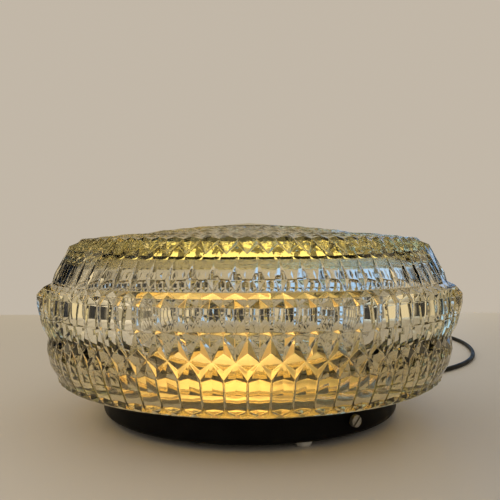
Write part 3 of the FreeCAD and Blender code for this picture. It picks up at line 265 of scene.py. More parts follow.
# Each row has the colour, the patches' colour and scale, the roughness of the plain surface and of the
# patches, and the grain's scale and its depth in metres.
OPAQUE = {
    "black_rubber": ((0.006, 0.006, 0.006), (0.014, 0.013, 0.012), 90.0, (0.6, 0.75), 2200.0, 0.00003),
    "clear_bumper": ((0.42, 0.4, 0.35), (0.5, 0.47, 0.4), 200.0, (0.35, 0.5), 1200.0, 0.00001),
    "plated_steel": ((0.42, 0.42, 0.41), (0.3, 0.29, 0.27), 500.0, (0.38, 0.55), 3000.0, 0.00002),
    "nickel_brass": ((0.66, 0.62, 0.54), (0.5, 0.46, 0.38), 180.0, (0.22, 0.38), 2500.0, 0.00001),
    "dark_insulator": ((0.012, 0.012, 0.014), (0.03, 0.03, 0.03), 300.0, (0.15, 0.3), 2000.0, 0.00001),
    "brass": ((0.7, 0.5, 0.22), (0.5, 0.33, 0.13), 220.0, (0.28, 0.42), 2500.0, 0.00001),
    "holder_plastic": ((0.72, 0.69, 0.62), (0.62, 0.57, 0.48), 60.0, (0.35, 0.5), 1800.0, 0.00002),
    "ceramic": ((0.8, 0.78, 0.73), (0.72, 0.68, 0.6), 80.0, (0.12, 0.25), 900.0, 0.00002),
    "aluminium_rivet": ((0.62, 0.62, 0.63), (0.5, 0.5, 0.5), 400.0, (0.35, 0.5), 3000.0, 0.00001),
    "cord_sheath": ((0.006, 0.006, 0.006), (0.012, 0.011, 0.01), 120.0, (0.42, 0.55), 2600.0, 0.00002),
    "wire_insulation": ((0.16, 0.07, 0.03), (0.1, 0.04, 0.02), 200.0, (0.35, 0.45), 2600.0, 0.00001),
    "switch_plastic": ((0.014, 0.014, 0.014), (0.026, 0.026, 0.025), 110.0, (0.42, 0.55), 2400.0, 0.00006),
    "rocker_plastic": ((0.016, 0.016, 0.016), (0.03, 0.03, 0.029), 150.0, (0.18, 0.32), 1800.0, 0.00001),
    "tie_plastic": ((0.014, 0.014, 0.014), (0.025, 0.025, 0.025), 200.0, (0.4, 0.5), 2400.0, 0.00002),
    "plug_plastic": ((0.014, 0.014, 0.014), (0.028, 0.027, 0.026), 120.0, (0.45, 0.6), 2200.0, 0.00005),
}
ENAMEL = ((0.002, 0.002, 0.0025), (0.004, 0.004, 0.0045), 60.0, (0.35, 0.45), 900.0, 0.00002)
METALS = ("plated_steel", "nickel_brass", "brass", "aluminium_rivet")
COATS = {"ceramic": 0.3}
SHINE = {"black_rubber": 0.25, "cord_sheath": 0.1, "pan_enamel": 0.04}
PLAIN_SHINE = 0.5


def surface_group():
    """Patches of a second colour and roughness from a soft noise, and a grain from a fine one."""
    group = bpy.data.node_groups.new("worn_surface", "ShaderNodeTree")
    for label in SURFACE_INPUTS:
        kind = "NodeSocketColor" if "Color" in label else "NodeSocketFloat"
        group.interface.new_socket(label, in_out="INPUT", socket_type=kind)
    for label, kind in (("Color", "NodeSocketColor"), ("Roughness", "NodeSocketFloat"),
                        ("Normal", "NodeSocketVector")):
        group.interface.new_socket(label, in_out="OUTPUT", socket_type=kind)
    given = group.nodes.new("NodeGroupInput").outputs
    made = group.nodes.new("NodeGroupOutput").inputs
    where = group.nodes.new("ShaderNodeTexCoord").outputs["Object"]
    patches = stepped(group, noise(group, where, given["Patch Scale"], PATCH_DETAIL), PATCH_EDGES)
    colour = mixed(group, "RGBA", patches, given["Color"], given["Patch Color"])
    roughness = mixed(group, "FLOAT", patches, given["Roughness"], given["Patch Roughness"])
    grain = noise(group, where, given["Grain Scale"], FINE_DETAIL)
    group.links.new(colour, made["Color"])
    group.links.new(roughness, made["Roughness"])
    group.links.new(bumped(group, grain, given["Grain Depth"]), made["Normal"])
    return group


SURFACE = surface_group()


def opaque(name, row):
    """A surface from the shared group, with a row's values."""
    colour, patch, patch_scale, roughness, grain_scale, grain_depth = row
    material, tree, shader = new_material(name)
    worn = tree.nodes.new("ShaderNodeGroup")
    worn.node_tree = SURFACE
    values = (rgba(colour), rgba(patch), patch_scale, *roughness, grain_scale, grain_depth)
    for label, value in zip(SURFACE_INPUTS, values):
        worn.inputs[label].default_value = value
    for result, label in (("Color", "Base Color"), ("Roughness", "Roughness"), ("Normal", "Normal")):
        tree.links.new(worn.outputs[result], shader.inputs[label])
    shader.inputs["Metallic"].default_value = float(name in METALS)
    shader.inputs["Coat Weight"].default_value = COATS.get(name, 0.0)
    shader.inputs["Specular IOR Level"].default_value = SHINE.get(name, PLAIN_SHINE)
    return material


# Enamel of the pan: the white side is nearer to the middle of the pan's rounded corner than mid-sheet

PAN_CORNER = (0.0945, 0.0075)
PAN_MID_SHEET = 0.0035
WHITE_ENAMEL = (0.86, 0.84, 0.79)


def enamel_finish():
    """Satin black outside the pan and white inside it, divided by the distance out from and down from the
    corner's middle."""
    material = opaque("pan_enamel", ENAMEL)
    tree = material.node_tree
    base = tree.nodes["Principled BSDF"].inputs["Base Color"]
    black = base.links[0].from_socket
    axes = own_place(tree)[1]
    radius = length_of(tree, axes["X"], axes["Y"])
    outwards = reckoned(tree, "MAXIMUM", reckoned(tree, "SUBTRACT", radius, PAN_CORNER[0]), 0.0)
    downwards = reckoned(tree, "MINIMUM", reckoned(tree, "SUBTRACT", axes["Z"], PAN_CORNER[1]), 0.0)
    inside = reckoned(tree, "LESS_THAN", length_of(tree, outwards, downwards), PAN_MID_SHEET)
    tree.links.new(mixed(tree, "RGBA", inside, black, rgba(WHITE_ENAMEL)), base)
    return material


# Pressed glass: heights in metres between which its colour changes, the dome's gold being painted glow, and
# what it swallows on the way through

DOME_EDGE = (0.106, 0.110)
FOOT_EDGE = (0.056, 0.050)
SIDE_TINT = (1.0, 0.99, 0.97)
# The dome's gold is painted glow: it stands for the bulb's warm light falling on the dome.
DOME_PAINTED_GLOW = (1.0, 0.9, 0.5)
FOOT_TINT = (1.0, 0.92, 0.72)
SHADOW_TINT = (0.88, 0.85, 0.74)
GLASS_ROUGHNESS = 0.012
GLASS_IOR = 1.52
GLASS_DEPTH_COLOUR = (0.86, 0.8, 0.45)
GLASS_DENSITY = 16.0
RIPPLES_DRAWN = (1.0, 1.0, 0.3)
SIDE_RIPPLE = 0.00005
SIDE_RIPPLE_SCALE = 140.0
DOME_RIPPLE = 0.0006
DOME_RIPPLE_SCALE = 260.0


def glass_ripples(tree, where, height):
    """Normals of soft ripples drawn out upwards, and of the dome's deeper and finer ones."""
    drawn = tree.nodes.new("ShaderNodeVectorMath")
    drawn.operation = "MULTIPLY"
    drawn.inputs[1].default_value = RIPPLES_DRAWN
    tree.links.new(where, drawn.inputs[0])
    normal = None
    for scale, side, dome in ((SIDE_RIPPLE_SCALE, SIDE_RIPPLE, SIDE_RIPPLE),
                              (DOME_RIPPLE_SCALE, 0.0, DOME_RIPPLE)):
        waves = noise(tree, drawn.outputs["Vector"], scale, FINE_DETAIL)
        normal = bumped(tree, waves, stepped(tree, height, DOME_EDGE, side, dome), normal)
    return normal


def glass_finish():
    """Clear pressed glass, straw at its foot; the gold of its dome is a painted warm glow that stands for the
    bulb's light.
    """
    material, tree, shader = new_material("pressed_glass")
    where, axes = own_place(tree)
    side = tree.nodes.new("ShaderNodeRGB").outputs["Color"]
    side.default_value = rgba(SIDE_TINT)
    # Painted glow: the dome turns gold, for the bulb's warm light.
    tint = turned_to(tree, axes["Z"], DOME_EDGE, side, DOME_PAINTED_GLOW)
    tint = turned_to(tree, axes["Z"], FOOT_EDGE, tint, FOOT_TINT)
    tree.links.new(tint, shader.inputs["Base Color"])
    tree.links.new(glass_ripples(tree, where, axes["Z"]), shader.inputs["Normal"])
    shader.inputs["Roughness"].default_value = GLASS_ROUGHNESS
    shader.inputs["IOR"].default_value = GLASS_IOR
    shader.inputs["Transmission Weight"].default_value = 1.0
    let_lamps_through(tree, shader, SHADOW_TINT)
    depth = tree.nodes.new("ShaderNodeVolumeAbsorption")
    depth.inputs["Color"].default_value = rgba(GLASS_DEPTH_COLOUR)
    depth.inputs["Density"].default_value = GLASS_DENSITY
    tree.links.new(depth.outputs["Volume"], tree.nodes["Material Output"].inputs["Volume"])
    return material


# Lit bulb: opal glass with a warm glow

OPAL = (0.3, 0.28, 0.25)
OPAL_ROUGHNESS = 0.3
OPAL_GLOW = (1.0, 0.53, 0.12)
OPAL_GLOW_LEVEL = 0.52


def lit_bulb_finish():
    material, tree, shader = new_material("lit_bulb")
    shader.inputs["Base Color"].default_value = rgba(OPAL)
    shader.inputs["Roughness"].default_value = OPAL_ROUGHNESS
    shader.inputs["Emission Color"].default_value = rgba(OPAL_GLOW)
    shader.inputs["Emission Strength"].default_value = OPAL_GLOW_LEVEL
    let_lamps_through(tree, shader, (1.0, 1.0, 1.0))
    return material


FINISHES = {slot: opaque(slot, row) for slot, row in OPAQUE.items()}
FINISHES["black_steel"] = enamel_finish()
FINISHES["bulb_glass"] = lit_bulb_finish()
FINISHES["pressed_glass"] = glass_finish()


# Shade: its rings as (radius, height) in millimetres, and its facets by their corners as (column, ring)

RIBS = 72
FIRST_RIB = 2.0
SHOULDER = 140.0
RIM_HEIGHT = 25.1
CROWN_RISE = 101.4
CROWN_SLOPE = 0.11
CROWN_ROUNDING = 15.0
PEAK_LIFT = 1.3
BUTTON_INSET = 2.0
BUTTON_RISE = 0.8
BUTTON_POINT = 2.0
VALLEY_EDGE = 0.81
GROOVE_EDGE = 0.91
BEAD_EDGE = 0.4
KITE_TOP_RISE = 80.7
KITE_SIDE_RISE = 69.9
KITE_HALF_WIDTH = 2.95
KITE_LIFT = 1.1
FINE_RADII = (112.0, 99.5, 87.0, 75.0)
COARSE_RADII = (72.5, 61.0, 49.0, 37.0, 25.0)
NECK_LINE = ((110.0, 25.1), (93.1, 25.1), (93.1, 18.0), (93.1, 11.9), (88.6, 11.9), (88.6, 18.0))
NECK_ROUNDING = ((88.6, 25.6), (90.2, 29.4), (94.0, 31.0))
LINING_FLOOR = (101.0, 31.0)
LINING_SIDE = ((108.0, 31.0), (112.5, 36.5), (117.0, 45.0), (121.2, 55.0), (124.6, 65.0), (126.0, 75.0),
               (124.6, 85.0), (121.0, 94.0), (115.0, 103.5))
LINING_RADII = (104.0, 30.0)
DOME_WALL = 6.0
ROUNDED_STEPS = 5
SMOOTH_STEPS = 4
WELD = 0.00001
ROUNDING = 0.0006
ROUNDING_SEGMENTS = 2
ROUNDING_ANGLE = 9.0


def ring(inset, rise):
    return SHOULDER - inset, RIM_HEIGHT + rise


def crown(radius, lift=0.0):
    """Ring of the dome at a radius. The dome is a shallow cone rounded at its middle."""
    sunk = CROWN_SLOPE * (math.hypot(radius, CROWN_ROUNDING) - CROWN_ROUNDING)
    return radius, RIM_HEIGHT + CROWN_RISE - sunk + lift


def chord(place):
    """Middle of the straight line between two ribs, where both are at this radius and height."""
    return place[0] * math.cos(math.pi / RIBS), place[1]


TOP, TOP_PEAK, MIDDLE = ring(17.8, 82.7), ring(20.2, 87.4), ring(9.2, 63.7)
ARCH_SIDE, ARCH_RIDGE = ring(6.4, 60.9), ring(3.7, 61.1)
FLUTE_RIDGE, FLUTE_VALLEY = ring(0.0, 56.9), ring(4.6, 56.9)
LOW_RIDGE, LOW_VALLEY = ring(0.0, 50.9), ring(4.6, 50.9)
RIDGE_END, VALLEY_END = ring(1.3, 44.9), ring(5.6, 44.9)
TONGUE_TIP, RIDGE_FOOT, NOTCH = ring(5.6, 43.2), ring(3.0, 37.9), ring(7.3, 29.9)
RECESS, HANGING_POINT = ring(8.2, 34.4), ring(6.2, 26.1)
SKIRT_RIDGE = ring(6.1, 21.9), ring(8.1, 13.5), ring(12.4, 5.9)
SKIRT_EDGE = ring(6.7, 20.3), ring(9.0, 13.1), ring(13.3, 4.8)
SKIRT_GROOVE = ring(7.1, 21.1), ring(10.1, 13.1), ring(14.1, 4.5)
BEAD, LIP, RIM = ring(12.6, 3.1), ring(15.7, 1.1), ring(17.5, 0.0)


def on_upper_rib(rise):
    """Ring of the upper band's straight rib at a rise above the rim."""
    share = (rise + RIM_HEIGHT - TOP[1]) / (MIDDLE[1] - TOP[1])
    return TOP[0] + share * (MIDDLE[0] - TOP[0]), rise + RIM_HEIGHT


def four_round(peak, corners):
    """Four facets that rise from a mesh's corners to its peak."""
    return [[first, second, peak] for first, second in zip(corners, corners[1:] + corners[:1])]


def fine_dome_facets():
    """One rib's share of the dome's fine zone: meshes of a net on the crown, each with a peak."""
    first, second, third, last = (crown(radius) for radius in FINE_RADII)
    facets = four_round((0, TOP_PEAK), [(-1, chord(TOP)), (0, TOP), (1, chord(TOP)), (0, first)])
    facets += four_round((1, crown(FINE_RADII[0], PEAK_LIFT)),
                         [(1, chord(TOP)), (2, first), (1, second), (0, first)])
    facets += four_round((0, crown(FINE_RADII[1], PEAK_LIFT)),
                         [(0, first), (1, second), (0, third), (-1, second)])
    facets += four_round((1, crown(FINE_RADII[2], PEAK_LIFT)),
                         [(1, second), (2, third), (1, last), (0, third)])
    return facets + [[(1, last), (3, last), (2, third)]]


def coarse_dome_facets():
    """Two ribs' share of the inner zone, with meshes twice as wide, and of the pointed button."""
    last = crown(FINE_RADII[3])
    rings = [crown(radius) for radius in COARSE_RADII]
    facets = [[(1, last), (3, last), (1, rings[0])], [(3, last), (5, rings[0]), (1, rings[0])],
              [(3, last), (5, last), (5, rings[0])], [(1, rings[0]), (5, rings[0]), (3, rings[1])]]
    for level in (1, 2, 3):
        middle = 1 + 2 * (level % 2 + 1)
        facets += four_round((middle, crown(COARSE_RADII[level], PEAK_LIFT)),
                             [(middle, rings[level - 1]), (middle + 2, rings[level]),
                              (middle, rings[level + 1]), (middle - 2, rings[level])])
    button = COARSE_RADII[4] - BUTTON_INSET, crown(COARSE_RADII[4])[1] + BUTTON_RISE
    facets.append([(1, rings[4]), (5, rings[4]), (3, rings[3])])
    facets.append([(1, rings[4]), (5, rings[4]), (5, button), (1, button)])
    facets.append([(1, button), (5, button), (1, (0.0, button[1] + BUTTON_POINT))])
    return facets


def kite_side():
    """The kite's side corner: on the straight line from its rib to the next, so nearer the axis than both."""
    radius, height = on_upper_rib(KITE_SIDE_RISE)
    half_turn = math.pi / RIBS
    across = KITE_HALF_WIDTH * math.cos(half_turn)
    inward = radius - KITE_HALF_WIDTH * math.sin(half_turn)
    return math.degrees(math.atan2(across, inward)) * RIBS / 180.0, (math.hypot(across, inward), height)


def half_facets():
    """The facets on one side of a rib. Those on its other side are their mirror image."""
    side = kite_side()
    top, bottom = (0, on_upper_rib(KITE_TOP_RISE)), (0, MIDDLE)
    radius, height = on_upper_rib(KITE_SIDE_RISE)
    kite_peak = (0, (radius + KITE_LIFT, height))
    facets = [[top, side, kite_peak], [side, bottom, kite_peak]]
    ridge = [(0, ARCH_RIDGE), (0, FLUTE_RIDGE), (0, LOW_RIDGE), (0, RIDGE_END)]
    valley = [(VALLEY_EDGE, place) for place in (FLUTE_VALLEY, LOW_VALLEY, VALLEY_END)]
    arch, tip = (1, ARCH_SIDE), (1, TONGUE_TIP)
    facets += [[bottom, arch, ridge[0]], [ridge[0], arch, valley[0]], [ridge[0], valley[0], ridge[1]],
               [ridge[1], valley[0], valley[1], ridge[2]], [ridge[2], valley[1], valley[2]],
               [ridge[2], valley[2], ridge[3]], [ridge[3], valley[2], tip], [ridge[3], tip, (0, RIDGE_FOOT)],
               [(0, RIDGE_FOOT), tip, (0, NOTCH)]]
    ridge = [(0, place) for place in SKIRT_RIDGE]
    edge = [(GROOVE_EDGE, place) for place in SKIRT_EDGE]
    groove = [(1, place) for place in SKIRT_GROOVE]
    facets += [[(0, NOTCH), ridge[0], edge[0]], [(0, NOTCH), edge[0], groove[0]]]
    for upper, lower in ((0, 1), (1, 2)):
        facets += [[ridge[upper], edge[upper], edge[lower]], [ridge[upper], edge[lower], ridge[lower]],
                   [edge[upper], groove[upper], groove[lower]], [edge[upper], groove[lower], edge[lower]]]
    pearl, bead_lip = (0, BEAD), (BEAD_EDGE, LIP)
    facets += [[ridge[2], edge[2], pearl], [pearl, edge[2], bead_lip], [pearl, bead_lip, (0, LIP)],
               [edge[2], groove[2], (1, LIP)], [edge[2], (1, LIP), bead_lip],
               [(0, LIP), bead_lip, (BEAD_EDGE, RIM), (0, RIM)],
               [bead_lip, (1, LIP), (1, RIM), (BEAD_EDGE, RIM)]]
    return facets


def shared_facets():
    """The facets that reach from one rib to the next."""
    column, place = kite_side()
    kite_top = on_upper_rib(KITE_TOP_RISE)
    left, right = VALLEY_EDGE, 2 - VALLEY_EDGE
    arch, tip, first, second = (1, ARCH_SIDE), (1, TONGUE_TIP), (0, NOTCH), (2, NOTCH)
    hollow, hanging, groove = (1, RECESS), (1, HANGING_POINT), (1, SKIRT_GROOVE[0])
    return [
        [(0, TOP), (1, chord(TOP)), (2, TOP), (2, kite_top), (2 - column, place), (2, MIDDLE), (0, MIDDLE),
         (column, place), (0, kite_top)],
        [(0, MIDDLE), (2, MIDDLE), arch],
        [arch, (left, FLUTE_VALLEY), (right, FLUTE_VALLEY)],
        [(left, FLUTE_VALLEY), (right, FLUTE_VALLEY), (right, LOW_VALLEY), (left, LOW_VALLEY)],
        [(left, LOW_VALLEY), (right, LOW_VALLEY), (right, VALLEY_END), (left, VALLEY_END)],
        [(left, VALLEY_END), (right, VALLEY_END), tip],
        [tip, first, hollow], [tip, second, hollow], [first, second, hollow],
        [first, second, hanging], [first, groove, hanging], [second, groove, hanging],
    ]


def tiled(facets, columns):
    """The facets' corners for one share, repeated round the axis every so many columns, as whole arrays."""
    lengths = np.array([len(facet) for facet in facets])
    corners = np.array([(column, *place) for facet in facets for column, place in facet])
    count = 2 * RIBS // columns
    column = (corners[:, 0] + columns * np.arange(count)[:, None]).ravel()
    turn = np.radians(FIRST_RIB + column * 180.0 / RIBS)
    radius = np.tile(corners[:, 1], count) * MM
    height = np.tile(corners[:, 2], count) * MM
    points = np.stack([radius * np.sin(turn), -radius * np.cos(turn), height], axis=1)
    return points, np.tile(lengths, count)


def arc(start, through, end, steps):
    """Points after the first on a circle's arc through three points of a profile."""
    (ax, ay), (bx, by), (cx, cy) = start, through, end
    twice = 2 * (ax * (by - cy) + bx * (cy - ay) + cx * (ay - by))
    squares = [x * x + y * y for x, y in (start, through, end)]
    middle_x = (squares[0] * (by - cy) + squares[1] * (cy - ay) + squares[2] * (ay - by)) / twice
    middle_y = (squares[0] * (cx - bx) + squares[1] * (ax - cx) + squares[2] * (bx - ax)) / twice
    angles = [math.atan2(y - middle_y, x - middle_x) for x, y in (start, through, end)]
    sweep = math.remainder(angles[2] - angles[0], 2 * math.pi)
    turn = angles[0] + sweep * np.arange(1, steps + 1) / steps
    radius = math.hypot(ax - middle_x, ay - middle_y)
    return list(zip(middle_x + radius * np.cos(turn), middle_y + radius * np.sin(turn)))


def smooth_line(places, steps):
    """Points on a smooth curve through the places, each stretch a cubic whose slope at a place is half the
    step between its neighbours. The ends are drawn out straight."""
    given = np.array(places)
    given = np.vstack([2 * given[0] - given[1], given, 2 * given[-1] - given[-2]])
    share = (np.arange(steps) / steps)[:, None]
    runs = []
    for first, second, third, fourth in zip(given, given[1:], given[2:], given[3:]):
        runs.append(0.5 * (2 * second + (third - first) * share
                           + (2 * first - 5 * second + 4 * third - fourth) * share ** 2
                           + (3 * second - first - 3 * third + fourth) * share ** 3))
    return [tuple(place) for place in np.vstack(runs)] + [tuple(given[-2])]


def lining_profile():
    """Radius and height from the rim over the flat underside, round the neck and up the smooth inside, which
    ends in a cone under the dome and a rounded middle."""
    profile = [RIM, *NECK_LINE, NECK_ROUNDING[0], *arc(*NECK_ROUNDING, ROUNDED_STEPS), LINING_FLOOR]
    edge, start = (crown(radius, -DOME_WALL) for radius in LINING_RADII)
    profile += smooth_line(LINING_SIDE + (edge,), SMOOTH_STEPS)
    slope = math.atan2(start[1] - edge[1], edge[0] - start[0])
    rounding = start[0] / math.sin(slope)
    turn = slope * np.arange(ROUNDED_STEPS, -1, -1) / ROUNDED_STEPS
    profile += list(zip(rounding * np.sin(turn), start[1] + rounding * (np.cos(turn) - math.cos(slope))))
    return profile


def lining():
    """Quads of that profile carried round the axis, on the columns that the beaded rim has."""
    profile = np.array(lining_profile()) * MM
    columns = (np.array([0.0, BEAD_EDGE, 1.0, 2.0 - BEAD_EDGE]) + 2.0 * np.arange(RIBS)[:, None]).ravel()
    turn = np.radians(FIRST_RIB + columns * 180.0 / RIBS)
    radius = profile[:, 0][:, None]
    grid = np.stack([radius * np.sin(turn), -radius * np.cos(turn),
                     np.repeat(profile[:, 1][:, None], len(turn), axis=1)], axis=2)
    following = np.roll(grid, -1, axis=1)
    quads = np.stack([grid[:-1], following[:-1], following[1:], grid[1:]], axis=2)
    points = quads.reshape(-1, 3)
    return points, np.full(len(points) // 4, 4)


def closed_mesh(name, pieces):
    """One welded mesh of loose faces, given as arrays of corners and of corner counts, facing outwards."""
    points = np.concatenate([points for points, lengths in pieces])
    lengths = np.concatenate([lengths for points, lengths in pieces])
    ends = np.cumsum(lengths)
    faces = [range(end - length, end) for end, length in zip(ends.tolist(), lengths.tolist())]
    mesh = bpy.data.meshes.new(name)
    mesh.from_pydata(points.tolist(), [], faces)
    work = bmesh.new()
    work.from_mesh(mesh)
    bmesh.ops.remove_doubles(work, verts=work.verts, dist=WELD)
    bmesh.ops.dissolve_degenerate(work, edges=work.edges, dist=WELD)
    bmesh.ops.recalc_face_normals(work, faces=work.faces)
    if work.calc_volume(signed=True) < 0:
        bmesh.ops.reverse_faces(work, faces=work.faces)
    for face in work.faces:
        face.smooth = True
    open_edges = sum(1 for edge in work.edges if len(edge.link_faces) != 2)
    print(name, "open edges", open_edges, "faces", len(work.faces))
    work.to_mesh(mesh)
    work.free()
    return mesh


def press_shade():
    """The shade's skin and lining, with the rounded edges of a pressed piece."""
    half = half_facets()
    mirrored = [[(-column, place) for column, place in facet] for facet in half]
    pieces = [tiled(half + mirrored + shared_facets() + fine_dome_facets(), 2),
              tiled(coarse_dome_facets(), 4), lining()]
    shade = bpy.data.objects.new("shade_glass", closed_mesh("shade_glass", pieces))
    scene.collection.objects.link(shade)
    shade.data.materials.append(FINISHES["pressed_glass"])
    edges = shade.modifiers.new("rounded_edges", "BEVEL")
    edges.width = ROUNDING
    edges.segments = ROUNDING_SEGMENTS
    edges.limit_method = "ANGLE"
    edges.angle_limit = math.radians(ROUNDING_ANGLE)
    edges.harden_normals = True
    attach(shade, "shade")
    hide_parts("glass_shade")


# Studio: a plain pale floor and backdrop, and lamps that stand aside, in metres and watts

PALE = (0.54, 0.475, 0.39)
FLOOR_EDGES = (-1.0, 1.0, -1.0, 0.62)
FLOOR_ROUGHNESS = 0.55
AMBIENT = (1.0, 0.98, 0.95)
AMBIENT_LEVEL = 0.7
LAMP_AIM = (0.0, 0.0, 0.05)

# Each row has the lamp's name, place, size, power and colour.
LAMPS = (("key", (-0.9, -0.7, 1.2), (1.3, 1.3), 36.0, (1.0, 0.97, 0.93)),
         ("window", (0.93, -0.36, 0.76), (1.1, 0.5), 16.0, (0.5, 0.74, 1.0)),
         ("back", (0.2, 1.2, 1.3), (1.2, 0.7), 18.0, (1.0, 0.88, 0.6)))
NOT_MIRRORED = ("key",)
GLOW_PLACE = (-0.0131, -0.0092, 0.033)
GLOW_COLOUR = (1.0, 0.6, 0.16)
GLOW_POWER = 0.26
GLOW_RADIUS = 0.02


# Screens round the studio that only glass and metal see: the walls and the ceiling of a room with a window

# Each stop has an azimuth, in degrees from straight behind the lamp towards the left, and the colour there.
ROOM = ((-180, (0.2, 0.17, 0.12)), (-125, (0.2, 0.17, 0.12)), (-118, (0.02, 0.02, 0.02)),
        (-104, (0.02, 0.02, 0.02)), (-98, (0.85, 0.7, 0.46)), (-80, (0.85, 0.7, 0.46)),
        (-75, (0.02, 0.02, 0.02)), (-63, (0.02, 0.02, 0.02)), (-58, (0.7, 0.58, 0.4)),
        (-49, (0.7, 0.58, 0.4)), (-45, (0.01, 0.02, 0.03)), (-40, (0.01, 0.02, 0.03)),
        (-37, (0.5, 0.8, 1.25)), (-30, (0.5, 0.8, 1.25)), (-28, (0.01, 0.02, 0.03)),
        (-22, (0.01, 0.02, 0.03)), (-19, (0.5, 0.8, 1.25)), (-12, (0.5, 0.8, 1.25)),
        (-9, (0.5, 0.42, 0.29)), (16, (0.5, 0.42, 0.29)), (18, (0.05, 0.05, 0.05)),
        (21, (0.6, 0.5, 0.34)), (28, (0.6, 0.5, 0.34)), (31, (0.005, 0.01, 0.02)),
        (58, (0.005, 0.01, 0.02)), (62, (0.9, 0.74, 0.48)), (74, (0.9, 0.74, 0.48)),
        (79, (0.02, 0.02, 0.02)), (92, (0.02, 0.02, 0.02)), (98, (0.5, 0.42, 0.3)))
ROOM_RADIUS = 3.2
WALL_HEAD = (0.25, 0.2, 0.08)
WALL_HEAD_EDGE = (0.6 * ROOM_RADIUS, 0.7 * ROOM_RADIUS)
CEILING = (1.6, 1.3, 0.5)
CEILING_EDGE = (0.86 * ROOM_RADIUS, 0.9 * ROOM_RADIUS)
SCREEN_ELEVATIONS = (-50, 90)
SCREEN_ROWS = 29
SCREEN_COLUMNS = 96


def lay_floor():
    left, right, front, back = FLOOR_EDGES
    mesh = bpy.data.meshes.new("floor")
    mesh.from_pydata([(left, front, 0.0), (right, front, 0.0), (right, back, 0.0), (left, back, 0.0)], [],
                     [(0, 1, 2, 3)])
    floor = bpy.data.objects.new("floor", mesh)
    scene.collection.objects.link(floor)
    material, tree, shader = new_material("pale_floor")
    shader.inputs["Base Color"].default_value = rgba(PALE)
    shader.inputs["Roughness"].default_value = FLOOR_ROUGHNESS
    mesh.materials.append(material)


def light_world():
    """An even light all round. The camera, glass and metal see the pale backdrop in its place."""
    world = bpy.data.worlds.new("studio")
    scene.world = world
    world.use_nodes = True
    tree = world.node_tree
    ambient = tree.nodes["Background"]
    ambient.inputs["Color"].default_value = rgba(AMBIENT)
    ambient.inputs["Strength"].default_value = AMBIENT_LEVEL
    backdrop = tree.nodes.new("ShaderNodeBackground")
    backdrop.inputs["Color"].default_value = rgba(PALE)
    path = tree.nodes.new("ShaderNodeLightPath").outputs
    seen = reckoned(tree, "MAXIMUM", path["Is Camera Ray"], path["Is Glossy Ray"])
    seen = reckoned(tree, "MAXIMUM", seen, path["Is Transmission Ray"])
    either = tree.nodes.new("ShaderNodeMixShader")
    tree.links.new(seen, either.inputs["Fac"])
    tree.links.new(ambient.outputs["Background"], either.inputs[1])
    tree.links.new(backdrop.outputs["Background"], either.inputs[2])
    tree.links.new(either.outputs["Shader"], tree.nodes["World Output"].inputs["Surface"])


def screen_mesh():
    """Rows of points on a sphere from low down to overhead, with a face between each four."""
    rise = np.radians(np.linspace(*SCREEN_ELEVATIONS, SCREEN_ROWS))[:, None]
    turn = np.linspace(0, 2 * math.pi, SCREEN_COLUMNS, endpoint=False)
    grid = np.stack([np.cos(rise) * np.cos(turn), np.cos(rise) * np.sin(turn),
                     np.sin(rise) * np.ones(SCREEN_COLUMNS)], axis=2) * ROOM_RADIUS
    corner = np.arange((SCREEN_ROWS - 1) * SCREEN_COLUMNS).reshape(-1, SCREEN_COLUMNS)
    beside = np.roll(corner, -1, axis=1)
    faces = np.stack([corner, beside, beside + SCREEN_COLUMNS, corner + SCREEN_COLUMNS], axis=2)
    mesh = bpy.data.meshes.new("screens")
    mesh.from_pydata(grid.reshape(-1, 3).tolist(), [], faces.reshape(-1, 4).tolist())
    return mesh


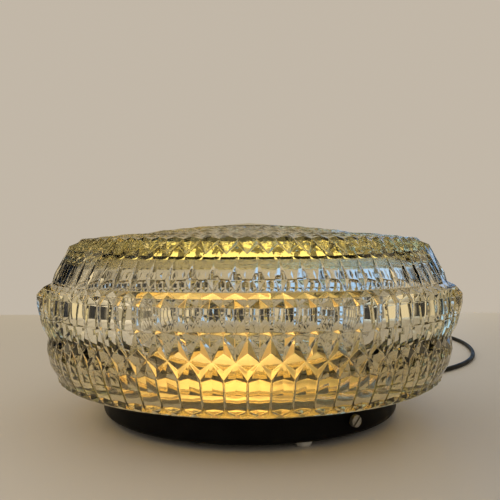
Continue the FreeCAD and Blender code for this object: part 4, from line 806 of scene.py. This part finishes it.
def screen_finish():
    """A glow whose colour follows the azimuth, and changes at two heights."""
    material, tree = new_material("screens")[:2]
    axes = own_place(tree)[1]
    azimuth = reckoned(tree, "ARCTAN2", reckoned(tree, "MULTIPLY", axes["X"], -1.0), axes["Y"])
    fields = tree.nodes.new("ShaderNodeValToRGB")
    tree.links.new(stepped(tree, azimuth, (-math.pi, math.pi)), fields.inputs["Fac"])
    stops = fields.color_ramp.elements
    stops.remove(stops[1])
    stops[0].position = 0.0
    stops[0].color = rgba(ROOM[0][1])
    for turn, colour in ROOM[1:]:
        stops.new((turn + 180) / 360).color = rgba(colour)
    colour = turned_to(tree, axes["Z"], WALL_HEAD_EDGE, fields.outputs["Color"], WALL_HEAD)
    colour = turned_to(tree, axes["Z"], CEILING_EDGE, colour, CEILING)
    glow = tree.nodes.new("ShaderNodeEmission")
    tree.links.new(colour, glow.inputs["Color"])
    tree.links.new(glow.outputs["Emission"], tree.nodes["Material Output"].inputs["Surface"])
    return material


def hang_screens():
    screens = bpy.data.objects.new("screens", screen_mesh())
    scene.collection.objects.link(screens)
    for sees in ("visible_camera", "visible_diffuse", "visible_shadow", "visible_volume_scatter"):
        setattr(screens, sees, False)
    screens.data.materials.append(screen_finish())


def set_glow():
    """The light inside the bulb."""
    light = bpy.data.lights.new("glow", "POINT")
    light.energy = GLOW_POWER
    light.color = GLOW_COLOUR
    light.shadow_soft_size = GLOW_RADIUS
    glow = bpy.data.objects.new("glow", light)
    glow.location = GLOW_PLACE
    scene.collection.objects.link(glow)


def set_soft_lamp(name, place, size, power, colour):
    """A rectangle of light, turned from its place to the lamp's middle."""
    light = bpy.data.lights.new(name, "AREA")
    light.shape = "RECTANGLE"
    light.size, light.size_y = size
    light.energy = power
    light.color = colour
    lamp = bpy.data.objects.new(name, light)
    lamp.visible_transmission = False
    lamp.visible_glossy = name not in NOT_MIRRORED
    lamp.location = place
    towards = np.array(LAMP_AIM) - np.array(place)
    turn = math.atan2(towards[0], -towards[1])
    tilt = math.atan2(math.hypot(towards[0], towards[1]), -towards[2])
    lamp.rotation_euler = (tilt, 0.0, turn)
    scene.collection.objects.link(lamp)


def build_studio():
    scene.view_settings.view_transform = "Standard"
    lay_floor()
    light_world()
    hang_screens()
    set_glow()
    for lamp in LAMPS:
        set_soft_lamp(*lamp)


# Every node keeps its CAD shape except the shade and the cords

def dress_nodes():
    for row in frame["record"]["subparts"]:
        node = nodes[row["node"]]
        node.data.materials.clear()
        node.data.materials.append(FINISHES[row["material_slot"]])


place_camera()
dress_nodes()
lay_cords(FINISHES["cord_sheath"])
press_shade()
build_studio()
